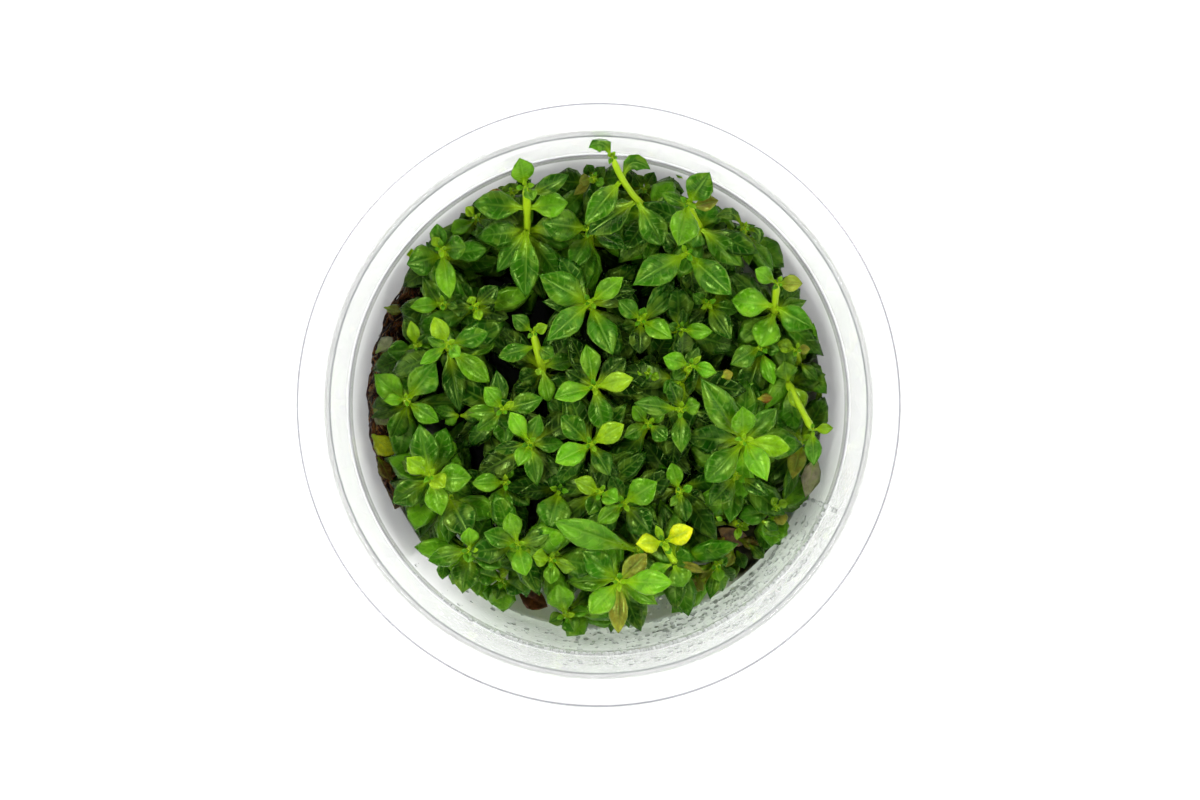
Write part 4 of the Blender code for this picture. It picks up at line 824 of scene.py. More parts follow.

# %% [markdown]
# ## Leaf and stem finishes
#
# The upper side is waxy. Seen from above it gives back the lamps as pale patches on the two raised
# halves, and more such patches are painted into its colour there as painted sheen. The groove stays
# darker and holds the pale midrib. The blade is yellow-green where it meets its stalk. All of it
# follows the leaf's own coordinates: across is 0 to 1 from margin to margin, and along is 0 at the
# stalk and 1 at the tip.

# %% Leaf and stem materials
def make_leaf_finish():
    made, tree, shader = new_finish("waxy leaf")
    across, along = own_surface(tree)
    off = maths(tree, "ABSOLUTE", minus(tree, times(tree, across, 2.0), 1.0))
    own = own_tint(tree)

    cloud = noise(tree, 260.0, 3.0, 0.6)
    fleck = noise(tree, 1500.0, 3.0, 0.6)
    clouds = mottled(tree, cloud, 0.3, 0.7, (0.62, 0.70, 0.62, 1.0), (1.24, 1.18, 1.1, 1.0))
    flecks = mottled(tree, fleck, 0.35, 0.65, (0.86, 0.88, 0.86, 1.0), (1.1, 1.08, 1.1, 1.0))
    colour = tinted(tree, 1.0, tinted(tree, 1.0, own, clouds), flecks)

    slant = minus(tree, along, times(tree, off, 0.16))
    row = maths(tree, "SINE", times(tree, slant, 52.0))
    vein = times(tree, step_between(tree, row, 0.72, 1.0), step_between(tree, off, 0.05, 0.25))
    pale = mixed(tree, 0.5, colour, (0.22, 0.42, 0.04, 1.0))
    colour = mixed(tree, times(tree, vein, 0.22), colour, pale)
    # Painted sheen: pale green patches mixed into the colour on the raised halves stand for the lamps' gloss.
    sheen_patch = step_between(tree, noise(tree, 330.0, 1.0), 0.50, 0.62)
    sheen_patch = times(tree, sheen_patch, step_between(tree, off, 0.08, 0.4))
    painted_sheen = mixed(tree, 0.3, colour, (0.42, 0.66, 0.05, 1.0))
    colour = mixed(tree, times(tree, sheen_patch, 0.42), colour, painted_sheen)
    rib = fall_between(tree, off, 0.03, 0.12)
    fade = minus(tree, 1.0, times(tree, along, 0.75))
    colour = mixed(tree, times(tree, rib, times(tree, fade, 0.8)), colour, pale)
    edge = times(tree, step_between(tree, off, 0.86, 1.0), 0.45)
    colour = mixed(tree, edge, colour, pale)
    reach = minus(tree, along, times(tree, minus(tree, 1.0, off), 0.16))
    young = fall_between(tree, reach, -0.04, 0.36)
    stalk = mixed(tree, 0.40, (0.38, 0.60, 0.004, 1.0), own)
    colour = mixed(tree, times(tree, young, 0.85), colour, stalk)

    grain = times(tree, fleck, 0.35)
    relief = plus(tree, grain, minus(tree, 0.0, times(tree, vein, 0.8)))
    bumped(tree, shader, relief, 0.00012, 0.55)
    fill_inputs(tree, shader, {
        "Base Color": colour, "Roughness": spread(tree, cloud, 0.3, 0.7, 0.20, 0.34),
        "Specular IOR Level": 0.6, "Specular Tint": (0.62, 1.0, 0.20, 1.0),
        "Subsurface Weight": 0.16, "Subsurface Radius": (0.5, 0.9, 0.2), "Subsurface Scale": 0.0007,
    })
    return made


def make_stem_finish():
    made, tree, shader = new_finish("juicy stem")
    along = own_surface(tree)[1]
    own = own_tint(tree)
    streak = noise(tree, 900.0, 2.0)
    colour = tinted(tree, 1.0, own, mixed(tree, streak, (0.72, 0.76, 0.7, 1.0), (1.2, 1.16, 1.15, 1.0)))
    low = fall_between(tree, along, 0.15, 0.8)
    colour = tinted(tree, times(tree, low, 0.8), colour, (0.62, 0.60, 0.50, 1.0))
    bumped(tree, shader, streak, 0.0001, 0.4)
    fill_inputs(tree, shader, {
        "Base Color": colour, "Roughness": 0.32, "Specular Tint": (0.9, 1.0, 0.3, 1.0),
        "Subsurface Weight": 0.2, "Subsurface Radius": (0.8, 1.0, 0.3), "Subsurface Scale": 0.001,
    })
    return made


leaf_finish = make_leaf_finish()
stem_finish = make_stem_finish()
print("finishes:", leaf_finish.name, "and", stem_finish.name)

# %% [markdown]
# ## Stems, tip buds and lower leaves
#
# Each stem is a soft tube with a thicker ring at every node. At its top the next two leaf pairs are
# still folded together as a bright bud. Below the listed nodes the stem bears more pairs, which sit
# in shade and close the cushion. Their tints paint that shade: dark in the middle of the cushion and
# lighter near the wall. They follow the same crosswise order down to the gel.

# %% Build the shoots
STEM_RADIUS = 0.55
STEM_RINGS = 22
STEM_SIDES = 8
STEM_TOP_SHARE = 0.55
NODE_SWELL = 0.18
LEAF_START = 0.35
STEM_TINT = (0.33, 0.52, 0.01)
WIDER = 1.16
LOWEST_PAIR = 17.0
PAIR_STEP = 1.7
LOWER_LENGTH = (7.0, 11.0)
LOWER_WIDTH = (3.8, 5.6)
LOWER_SLOPE = (-0.1, 0.4)
NEAR_WALL = 24.0
TIP_TO_WALL = 1.6
WALL_HEIGHTS = [2.6, 37.4, 38.0, 49.4]
WALL_RADII = [38.6, 41.6, 42.3, 44.4]
CLEAR_SPOTS = np.array([(23.6, -22.6, 5.4), (-11.6, -34.0, 4.8), (-35.5, 14.5, 5.0), (-36.5, -9.0, 3.5)])


def wall_radius(height):
    """Inner radius of the cup's wall at these heights."""
    return np.interp(height, WALL_HEIGHTS, WALL_RADII)


def along_path(path, heights):
    """The points of the path at these heights."""
    return np.stack([np.interp(heights, path[:, 2], path[:, axis]) for axis in (0, 1)] + [heights], axis=1)


def stem_path(foot, nodes):
    """Points up the stem: straight through the gel, then from node to node and a little past the top."""
    centres = [place(*node[:3]) for node in reversed(nodes)]
    start = place(*foot, GEL_TOP)
    points = [np.array([start[0], start[1], STEM_FOOT]), np.array([start[0], start[1], STEM_STRAIGHT_TOP])]
    points += centres + [centres[-1] + np.array([0.0, 0.0, 1.0])]
    return np.array(points)


def stem_part(path, levels, tint):
    """A tube through the path, its radius swollen by a bell curve at each node level."""
    heights = np.linspace(path[0, 2], path[-1, 2], STEM_RINGS)
    centres = along_path(path, heights)
    for _ in range(2):
        centres[1:-1, :2] = (centres[:-2, :2] + 2 * centres[1:-1, :2] + centres[2:, :2]) / 4
    swell = np.exp(-((heights[:, None] - levels[None]) / 0.5) ** 2).max(axis=1)
    radii = STEM_RADIUS + NODE_SWELL * swell
    radii[-1] *= STEM_TOP_SHARE
    return tubes(centres[None], radii[None], STEM_SIDES, tint=np.array([tint]), finish=1)


def pair_leaves(centre, heading, length, width, slope, letters, stem_half=LEAF_START):
    """Opposite pairs of leaves from (pairs, 3) centres, with a heading, length, width and slope each."""
    turns = np.concatenate([heading, heading + np.pi])
    centre = np.concatenate([centre, centre])
    length, width, slope = (np.concatenate([value, value]) for value in (length, width, slope))
    run = np.stack([np.cos(turns), np.sin(turns)], axis=1)
    base = centre.copy()
    base[:, :2] += run * stem_half
    tip = base.copy()
    tip[:, :2] += run * length[:, None]
    room = wall_radius(tip[:, 2]) - TIP_TO_WALL
    share = np.minimum(1.0, room / np.linalg.norm(tip[:, :2], axis=1))
    tip[:, :2] *= share[:, None]
    tip[:, 2] += slope * length
    control = base + (tip - base) * CONTROL_SHARE
    control[:, 2] += ARCH * CONTROL_SHARE * length
    return base, control, tip, width, tint_of(letters)


def bud_part(apex, heading, big):
    """Two small pairs of upright leaves, the inner pair crosswise to the outer one."""
    centre = np.array([apex, apex + np.array([0.0, 0.0, 0.35])])
    headings = np.array([heading, heading + np.pi / 2])
    length = np.array([1.25, 0.8]) * big
    width = np.array([0.85, 0.6]) * big
    made = pair_leaves(centre, headings, length, width, np.array([1.2, 1.6]), ["L", "L", "Y", "Y"], 0.1)
    return leaf_part(*made, PLAIN_LEAF, fold=0.6)


def lower_leaves(path, lowest, heading):
    """Pairs in painted-shade tints from below the lowest listed node down to the gel, kept off the clear
    spots.
    """
    heights = np.arange(lowest - 1.2, LOWEST_PAIR, -PAIR_STEP)
    if len(heights) == 0:
        return None
    near_wall = np.hypot(*path[1, :2]) > NEAR_WALL
    centre = along_path(path, heights)
    count = len(heights)
    headings = heading + np.pi / 2 * (np.arange(count) + 1) + rng.normal(0, 0.2, count)
    length, width, slope = (rng.uniform(*span, count) for span in (LOWER_LENGTH, LOWER_WIDTH, LOWER_SLOPE))
    # Painted shade: in the middle of the cushion the lower leaves get the dark D and K tints, and near the
    # wall, where light comes in through the plastic, the lighter L and G tints.
    letters = list(rng.choice(["L", "G", "G", "D"] if near_wall else ["D", "D", "K", "K"], 2 * count))
    base, control, tip, width, tint = pair_leaves(centre, headings, length, width, slope, letters)
    middle = (base + tip)[:, None, :2] / 2 - CLEAR_SPOTS[None, :, :2]
    open_air = (np.linalg.norm(middle, axis=2) > CLEAR_SPOTS[:, 2]).all(axis=1)
    if not open_air.any():
        return None
    return leaf_part(*(part[open_air] for part in (base, control, tip, width, tint)), PLAIN_LEAF)


table = np.array([row[:7] + row[8:] for row in leaves])
letters_of = [row[7] for row in leaves]
shoot_pieces = []
for number, (foot, nodes) in enumerate(SHOOTS, start=1):
    rows = np.flatnonzero(table[:, 0] == number)
    x, y, z, tip_x, tip_y, width, bow, share, slope = table[rows, 1:].T
    curves = curves_of(x, y, z, tip_x, tip_y, share, slope, bow, LEAF_START)
    listed = leaf_part(*curves, width * WIDER, tint_of([letters_of[row] for row in rows]), FULL_LEAF)
    path = stem_path(foot, nodes)
    levels = np.array([node[2] for node in nodes])
    first = nodes[0][3]
    heading = math.atan2(first[1] - nodes[0][1], first[0] - nodes[0][0])
    young = 1.35 if first[3] == "V" else 1.0
    parts = [stem_part(path, levels, np.array(STEM_TINT) * young), listed]
    parts.append(bud_part(path[-1], heading + math.pi / 2, min(1.25, 0.5 + first[2] / 5)))
    below = lower_leaves(path, levels.min(), heading)
    if below:
        parts.append(below)
    name = "shoot_%02d" % number
    shoot_pieces.append(new_piece(name + "_looks", parts, [leaf_finish, stem_finish], [name]))
print("shoots built:", len(shoot_pieces), "faces:", sum(len(piece.data.polygons) for piece in shoot_pieces))

# %% [markdown]
# ## Small sprouts between the shoots
#
# Tips of side shoots and loose small leaves peep out between the listed shoots. They are too small
# for solids of their own, so they are laid in here as single leaves.

# %% Build the small leaves
SMALL_LEAVES = [
    (-23.4, -1.8, 31.0, -27.9, -0.5, 2.2, "G"), (-23.4, -1.8, 31.0, -19.5, -1.8, 2.6, "D"),
    (-23.4, -1.8, 30.6, -25.9, -3.2, 1.8, "L"), (16.8, -18.5, 29.0, 16.2, -13.9, 2.6, "K"),
    (16.8, -18.5, 28.6, 18.6, -24.0, 3.4, "D"), (26.6, 1.0, 33.0, 29.3, 1.2, 1.6, "R"),
    (20.6, 4.6, 36.0, 22.6, 5.4, 1.8, "O"), (5.8, 0.6, 30.0, 3.2, -1.6, 2.4, "D"),
    (-18.0, -17.6, 36.0, -18.3, -19.0, 1.2, "L"), (-13.4, -24.2, 37.0, -14.9, -24.4, 0.9, "Y"),
    (-12.6, -24.6, 37.0, -11.3, -24.7, 0.9, "Y"), (-7.6, -25.0, 36.0, -6.4, -25.1, 0.8, "Y"),
    (-25.8, -25.6, 33.0, -26.3, -29.4, 2.1, "G"), (-31.6, 24.6, 34.0, -31.9, 26.6, 1.4, "Y"),
    (-25.0, -5.4, 31.0, -24.6, -8.8, 1.8, "L"), (-21.6, 8.2, 32.0, -17.4, 10.4, 1.7, "L"),
    (27.2, -19.4, 30.0, 30.3, -21.0, 1.8, "D"), (37.4, 0.6, 23.0, 36.5, 1.6, 1.0, "Y"),
    (37.4, 0.8, 23.0, 36.9, 2.6, 0.9, "Y"), (14.2, 38.0, 33.0, 13.0, 38.9, 0.8, "L"),
    (19.6, -18.8, 33.0, 20.9, -19.5, 0.9, "L"), (16.2, -28.6, 28.0, 17.6, -31.4, 1.5, "O"),
    (17.0, -29.0, 28.0, 14.9, -30.8, 1.3, "R"), (24.4, 29.6, 35.0, 25.4, 30.2, 0.7, "Y"),
    (21.2, -22.2, 22.0, 19.8, -24.0, 1.9, "R"), (23.4, -22.6, 20.0, 27.0, -23.6, 2.2, "R"),
    (22.6, -24.2, 21.0, 21.4, -27.4, 2.0, "O"), (23.2, -24.4, 21.0, 24.6, -27.6, 2.2, "D"),
    (25.2, -23.4, 21.0, 27.8, -25.8, 2.2, "D"), (27.0, -20.9, 27.0, 30.6, -21.6, 1.6, "G"),
    (12.8, -26.8, 31.0, 8.4, -29.6, 2.8, "D"), (18.2, -29.0, 27.0, 15.2, -31.6, 1.8, "O"),
    (24.0, -25.6, 18.5, 20.4, -29.6, 3.0, "K"), (27.6, -19.6, 19.0, 30.6, -23.6, 3.0, "D"),
    (24.4, 29.6, 35.0, 24.0, 30.8, 0.7, "Y"), (24.4, 29.6, 35.2, 23.7, 29.2, 0.6, "Y"),
    (24.4, 29.6, 35.2, 24.9, 28.8, 0.6, "Y"), (-38.2, -4.9, 27.0, -34.4, -8.4, 3.4, "V"),
    (-37.9, -0.6, 27.5, -35.2, -3.4, 2.6, "W"), (-37.2, -8.6, 26.0, -34.9, -12.6, 2.4, "R"),
    (-37.6, 8.6, 27.5, -34.6, 11.4, 2.4, "W"), (-36.2, 16.4, 26.5, -33.0, 15.6, 2.2, "O"),
    (36.6, -8.2, 26.0, 34.8, -15.6, 3.0, "W"),
]
small = np.array([row[:6] for row in SMALL_LEAVES])
count = len(small)
curves = curves_of(*small[:, :5].T, np.ones(count), np.full(count, 0.25), np.zeros(count), 0.1)
sprouts = leaf_part(*curves, small[:, 5] * WIDER, tint_of([row[6] for row in SMALL_LEAVES]), PLAIN_LEAF)
new_piece("small_sprouts", [sprouts], [leaf_finish])
print("small leaves:", count)

# %% [markdown]
# ## The cup
#
# The cup is one thin moulding, so its shape is a single outline turned about the middle. A moulding
# has no sharp corners. Each corner of the outline is cut back a little on both sides and joined by a
# quadratic curve, and those small rounds draw the bright and grey lines of the rim. Grey painted into
# the plastic's colour along three of those edges deepens the grey lines as painted shade. The
# plastic is a little milky. Without that, light caught between the two faces of the wall would only
# come out at the foot, and the ledge would show as a black ring. The lower wall is misted, which a
# sheen and a weaker bending of the light stand for. On the side without a label it is mottled, with
# a painted green reflection of the leaves, and beads of water stand on it as round bumps with rims
# painted grey as painted shade.

# %% Build the cup
CUP_OUTLINE = [
    (37.4, 1.2), (38.6, 2.6), (41.6, 37.4), (42.3, 38.0), (44.4, 49.4), (45.0, 50.0), (50.0, 50.0),
    (50.0, 49.1), (45.9, 49.1), (45.3, 48.4), (43.1, 37.6), (42.4, 37.0), (39.5, 2.0), (37.9, 0.0),
    (36.6, 0.0), (36.2, 0.45),
]
CUP_ROUND = 0.2
CUP_SIDES = 240
# Painted shade: grey rings painted into the plastic's colour at the flange's outer edge, at the rim's inner
# corner and at the ledge, for the view bent darker at those rounded edges.
PAINTED_EDGE_LINES = [
    (50.0, 49.55, 0.62, (0.42, 0.42, 0.46, 1.0)),
    (44.45, 49.45, 0.30, (0.52, 0.55, 0.56, 1.0)),
    (42.2, 37.9, 0.34, (0.58, 0.58, 0.61, 1.0)),
]
EDGE_CORE = 0.75
BARE_SIDE = (0.342, -0.940, 0.0)


def rounded(outline, size, steps=3):
    """The outline with each corner cut back by at most this size and joined by a quadratic curve."""
    corners = np.array(outline)
    before, after = corners[:-2], corners[2:]
    middle = corners[1:-1]
    cut_in = np.minimum(size, 0.45 * np.linalg.norm(before - middle, axis=1))[:, None]
    cut_out = np.minimum(size, 0.45 * np.linalg.norm(after - middle, axis=1))[:, None]
    start = middle + unit(before - middle) * cut_in
    end = middle + unit(after - middle) * cut_out
    share = np.linspace(0.0, 1.0, steps + 1)[None, :, None]
    curve = start[:, None] * (1 - share) ** 2 + middle[:, None] * 2 * share * (1 - share)
    curve = curve + end[:, None] * share ** 2
    return np.concatenate([corners[:1], curve.reshape(-1, 2), corners[-1:]])


def turned_part(outline, sides):
    """A closed outline from the axis to the axis, turned about Z."""
    turn = np.linspace(0.0, 2 * np.pi, sides, endpoint=False)
    radius, height = outline[:, 0][:, None], outline[:, 1][:, None]
    rings = np.stack([radius * np.cos(turn), radius * np.sin(turn), height + 0 * turn], axis=-1)[None]
    top = np.array([[0.0, 0.0, outline[0, 1]]])
    bottom = np.array([[0.0, 0.0, outline[-1, 1]]])
    return ringed_part(rings, top, bottom)


def make_clear_plastic():
    made, tree, shader = new_finish("clear plastic")
    flow = noise(tree, 45.0, 2.0)
    tone = (0.975, 0.98, 0.975, 1.0)
    spot = own_place(tree)
    level = vector_maths(tree, "MULTIPLY", spot, (1000, 1000, 0))
    radius = vector_maths(tree, "LENGTH", level)
    rise = times(tree, add_node(tree, "ShaderNodeSeparateXYZ", {0: spot}).outputs["Z"], 1000.0)
    # Painted shade: each edge ring mixes its grey into the tone.
    for edge, height, reach, grey in PAINTED_EDGE_LINES:
        out, up = minus(tree, radius, edge), minus(tree, rise, height)
        square = plus(tree, times(tree, out, out), times(tree, up, up))
        off = maths(tree, "SQRT", square)
        near = fall_between(tree, off, reach * EDGE_CORE, reach)
        tone = mixed(tree, near, tone, grey)

    towards = vector_maths(tree, "DOT_PRODUCT", level, BARE_SIDE)
    bare = step_between(tree, maths(tree, "DIVIDE", towards, radius), 0.45, 0.8)
    misted = fall_between(tree, rise, 44.0, 48.0)
    cells = add_node(tree, "ShaderNodeTexVoronoi", {"Vector": spot, "Scale": 1000.0}).outputs["Distance"]
    patchy = step_between(tree, noise(tree, 260.0, 1.0), 0.42, 0.56)
    wet = times(tree, times(tree, bare, misted), patchy)
    bead = times(tree, wet, fall_between(tree, cells, 0.12, 0.42))
    # Painted shade: the rim round each bead is toned grey, for the view a round drop bends aside.
    outer = step_between(tree, cells, 0.16, 0.34)
    rim = times(tree, outer, fall_between(tree, cells, 0.34, 0.48))
    tone = tinted(tree, times(tree, wet, rim), tone, (0.84, 0.87, 0.84, 1.0))
    low_wall = fall_between(tree, rise, 36.5, 37.8)
    # Mottled mist with a painted green reflection of the leaves, on the lower wall of the bare side.
    damp_and_leaf_reflection = mottled(tree, noise(tree, 1100.0, 2.0), 0.46, 0.60, (0.70, 0.80, 0.66, 1.0), (1.0, 1.0, 0.98, 1.0))
    tone = tinted(tree, times(tree, bare, low_wall), tone, damp_and_leaf_reflection)

    foggy = fall_between(tree, rise, 36.0, 38.0)
    sheen = plus(tree, times(tree, foggy, 0.85), 0.12)
    plain_wall = fall_between(tree, rise, 34.5, 36.5)
    clear = plus(tree, times(tree, plain_wall, 0.10), 0.76)
    plain_wall = times(tree, plain_wall, step_between(tree, rise, 2.5, 5.0))
    bend = minus(tree, 1.3, times(tree, plain_wall, 0.24))
    bumped(tree, shader, plus(tree, times(tree, flow, 0.2), bead), 0.0002, 0.3)
    fill_inputs(tree, shader, {
        "Base Color": tone, "Roughness": spread(tree, flow, 0.3, 0.7, 0.015, 0.05),
        "Sheen Weight": sheen, "Sheen Roughness": 0.35, "Transmission Weight": clear, "IOR": bend,
    })
    return made


cup_part = turned_part(rounded(CUP_OUTLINE, CUP_ROUND), CUP_SIDES)
cup = new_piece("cup_looks", [cup_part], [make_clear_plastic()], ["cup"])
print("cup faces:", len(cup.data.polygons))

# %% [markdown]
# ## The label
#
# A plain white band runs round most of the lower wall, outside. From above one sees its bare back
# through the clear wall. It is a strip that follows the cone of the wall, and near each end its
# height shrinks along a quarter circle, which rounds its corners.

# %% Build the label
LABEL_START = math.radians(-33.0)
LABEL_SWEEP = math.radians(252.0)
LABEL_GAP = 0.3
LABEL_THICKNESS = 0.25
LABEL_LOW = 4.0
LABEL_HIGH = 36.0
LABEL_ROUND = 3.0
LABEL_COLUMNS = 200
LABEL_RADIUS = 41.0
LABEL_RINGS = 5


def label_part():
    """The strip as rings, one for each turn angle, each going up the outside and down the inside."""
    even = np.linspace(0.0, 1.0, LABEL_COLUMNS)
    share = np.sort(np.concatenate([even, np.linspace(0.001, 0.016, 8), np.linspace(0.984, 0.999, 8)]))
    run = share * LABEL_SWEEP * LABEL_RADIUS
    from_end = np.minimum(np.minimum(run, run[::-1]), LABEL_ROUND)
    trim = LABEL_ROUND - np.sqrt(LABEL_ROUND ** 2 - (LABEL_ROUND - from_end) ** 2)
    steps = np.linspace(0.0, 1.0, LABEL_RINGS)
    low, high = (LABEL_LOW + trim)[:, None], (LABEL_HIGH - trim)[:, None]
    up = low + (high - low) * steps
    height = np.concatenate([up, up[:, ::-1]], axis=1)
    outer = np.concatenate([np.full(LABEL_RINGS, LABEL_THICKNESS), np.zeros(LABEL_RINGS)])
    wall = np.interp(height, [2.0, 37.0], [39.5, 42.4])
    radius = wall + LABEL_GAP + outer
    angle = (LABEL_START + LABEL_SWEEP * share)[:, None]
    rings = np.stack([radius * np.cos(angle), radius * np.sin(angle), height], axis=-1)[None]
    return ringed_part(rings, rings[:, 0].mean(axis=1), rings[:, -1].mean(axis=1))


def make_label_finish():
    made, tree, shader = new_finish("label paper")
    fibre = noise(tree, 700.0, 4.0, 0.7)
    wash = noise(tree, 60.0, 1.0)
    # Painted bounce light: the wash runs from a green tint, for light thrown back from the leaves, to a faint
    # pink.
    paper_and_bounce_tint = mixed(tree, wash, (0.93, 0.98, 0.90, 1.0), (0.97, 0.94, 0.95, 1.0))
    tone = tinted(tree, 0.6, paper_and_bounce_tint, mixed(tree, fibre, (0.86, 0.86, 0.86, 1.0), (1.08, 1.08, 1.08, 1.0)))
    bumped(tree, shader, fibre, 0.00005, 0.3)
    fill_inputs(tree, shader, {
        "Base Color": tone, "Roughness": 0.6,
        "Subsurface Weight": 1.0, "Subsurface Radius": (1.0, 1.0, 1.0), "Subsurface Scale": 0.004,
    })
    return made


label = new_piece("label_looks", [label_part()], [make_label_finish()], ["label"])
print("label faces:", len(label.data.polygons))

# %% [markdown]
# ## The gel
#
# The gel was poured warm, so its top is level and wets the wall. It is a cloudy jelly: light goes in
# a little way and comes back pale. Under the cushion of leaves it is painted near-black green, as
# painted shade, and it stays pale only near the wall. Its top has a soft swell, a sum of two sines of
# the turn angle that fades to nothing at the middle, and its rim climbs the wall in a short curve.

# %% Build the gel
GEL_OUTLINE = [
    (0.5, 14.0), (8.0, 14.0), (16.0, 14.0), (24.0, 14.0), (31.0, 14.0), (35.0, 14.0), (37.6, 14.12),
    (38.6, 14.35), (39.15, 14.75), (38.9, 12.0), (38.5, 6.0), (38.25, 2.9), (37.3, 1.5),
]
GEL_SIDES = 160
GEL_SWELL = 0.18
GEL_DARK_SPOT = (0.0245, -0.0225, 0.0142)


def gel_part():
    part = turned_part(np.array(GEL_OUTLINE), GEL_SIDES)
    points = part["points"]
    turn = np.arctan2(points[:, 1], points[:, 0])
    radius = np.hypot(points[:, 0], points[:, 1])
    swell = np.sin(3 * turn + 0.4) + 0.6 * np.sin(7 * turn + radius / 4)
    points[:, 2] += np.where(points[:, 2] > 13.9, GEL_SWELL * swell * np.clip(radius / 30, 0, 1), 0.0)
    return part


def make_gel_finish():
    made, tree, shader = new_finish("nutrient gel")
    milk = noise(tree, 150.0, 3.0)
    tone = mixed(tree, milk, (0.70, 0.76, 0.62, 1.0), (0.86, 0.90, 0.80, 1.0))
    spot = own_place(tree)
    # Painted shade: inside a ragged circle under the leaves the gel is painted a near-black green; only the
    # ring near the wall keeps its pale tone.
    from_axis = vector_maths(tree, "LENGTH", vector_maths(tree, "MULTIPLY", spot, (1, 1, 0)))
    ragged = plus(tree, from_axis, times(tree, milk, 0.006))
    tone = mixed(tree, step_between(tree, ragged, 0.031, 0.038), (0.012, 0.028, 0.005, 1.0), tone)
    from_gap = vector_maths(tree, "DISTANCE", spot, GEL_DARK_SPOT)
    tone = mixed(tree, step_between(tree, from_gap, 0.0065, 0.0095), (0.035, 0.030, 0.012, 1.0), tone)
    bumped(tree, shader, noise(tree, 420.0, 2.0), 0.0003, 0.4)
    fill_inputs(tree, shader, {
        "Base Color": tone, "Roughness": 0.12, "IOR": 1.34, "Transmission Weight": 0.35,
        "Subsurface Weight": 0.5, "Subsurface Radius": (1.0, 0.9, 0.7), "Subsurface Scale": 0.003,
    })
    return made


gel = new_piece("gel_looks", [gel_part()], [make_gel_finish()], ["gel"])
print("gel faces:", len(gel.data.polygons))

# %% [markdown]
# ## Old roots and withered leaves
#
# Old roots and stalks have collected against the wall on the left. The core of that mat is a lumpy
# band, and over it lie loose roots: each starts somewhere on the band, runs round the wall and
# wanders up and down by a sum of two sines with a phase of its own.

# %% Build the root mat and the old leaves
MAT_START = math.radians(143.0)
MAT_SWEEP = math.radians(64.0)
MAT_LOW = 15.0
MAT_BULGE_AT = math.radians(157.0)
MAT_BULGE_SPAN = math.radians(12.0)
ROOT_COUNT = 260
ROOT_SHAPE = np.array([0.6, 0.9, 1, 1, 1, 1, 0.9, 0.7, 0.35])
ROOT_SHARES = [0.18, 0.24, 0.20, 0.14, 0.12, 0.12]
ROOT_TINTS = np.array([
    (0.035, 0.014, 0.008), (0.10, 0.036, 0.012), (0.24, 0.090, 0.018), (0.34, 0.17, 0.05),
    (0.055, 0.014, 0.014), (0.42, 0.31, 0.17),
])


def mat_crest(angle):
    """Height and inner radius of the mat at these angles. At one place it bulges inwards."""
    share = np.clip((angle - MAT_START) / MAT_SWEEP, 0.0, 1.0)
    bulge = np.exp(-((angle - MAT_BULGE_AT) / MAT_BULGE_SPAN) ** 2)
    lump = 0.7 * (np.sin(38.4 * share) + np.sin(81.6 * share + 1.0) / 2)
    rise = 0.65 + 0.35 * np.sin(np.pi * share)
    return MAT_LOW + 9.6 * rise + lump, 36.8 - 2.2 * bulge - lump / 2


def mat_part():
    """The band as rings of eight points, from its foot at the wall over the crest and down inside."""
    angle = np.linspace(MAT_START, MAT_START + MAT_SWEEP, 90)
    high, inner = mat_crest(angle)
    wall = wall_radius(high) - 0.7
    low_wall = wall_radius(np.full_like(high, MAT_LOW)) - 0.7
    radius = np.stack([
        low_wall, wall, (wall * 2 + inner) / 3, (wall + inner * 2) / 3,
        inner, inner + 0.4, inner + 0.5, inner + 1.5,
    ], axis=1)
    height = np.stack([
        0 * high + MAT_LOW, high - 1.4, high - 0.2, high,
        high - 1.0, high - 2.6, (high + MAT_LOW) / 2, 0 * high + MAT_LOW,
    ], axis=1)
    radius = radius + rng.normal(0, 0.10, radius.shape)
    height = height + rng.normal(0, 0.16, height.shape)
    turn = angle[:, None] + 0 * radius
    rings = np.stack([radius * np.cos(turn), radius * np.sin(turn), height], axis=-1)[None]
    return ringed_part(rings, rings[:, 0].mean(axis=1), rings[:, -1].mean(axis=1), tint=ROOT_TINTS[:1])


def root_part():
    """Loose roots lying on the band, as thin tubes with a tint each."""
    steps = np.linspace(0.0, 1.0, len(ROOT_SHAPE))[None]
    start = MAT_START + MAT_SWEEP * rng.uniform(0.0, 0.95, (ROOT_COUNT, 1))
    sweep = rng.uniform(0.04, 0.26, (ROOT_COUNT, 1)) * rng.choice([-1.0, 1.0], (ROOT_COUNT, 1))
    angle = np.clip(start + sweep * steps, MAT_START, MAT_START + MAT_SWEEP)
    high, inner = mat_crest(angle)
    across = rng.uniform(0.0, 1.0, (ROOT_COUNT, 1))
    phase = rng.uniform(0, 2 * np.pi, (2, ROOT_COUNT, 1))
    wander = np.sin(5 * steps + phase[0]) + 0.5 * np.sin(11 * steps + phase[1])
    across = np.clip(across + 0.2 * wander, -0.1, 1.05)
    radius = inner + (wall_radius(high) - 0.8 - inner) * across
    fall = np.where(across < 0.25, (0.25 - across) * 9.0, 0.0)
    fall = fall + np.where(across > 0.8, (across - 0.8) * 6.0, 0.0)
    height = high + 0.25 - fall + 0.25 * np.cos(7 * steps + phase[0])
    paths = np.stack([radius * np.cos(angle), radius * np.sin(angle), height], axis=-1)
    thick = rng.uniform(0.09, 0.26, (ROOT_COUNT, 1)) * ROOT_SHAPE
    tint = ROOT_TINTS[rng.choice(len(ROOT_TINTS), ROOT_COUNT, p=ROOT_SHARES)]
    return tubes(paths, thick, 5, tint=tint)


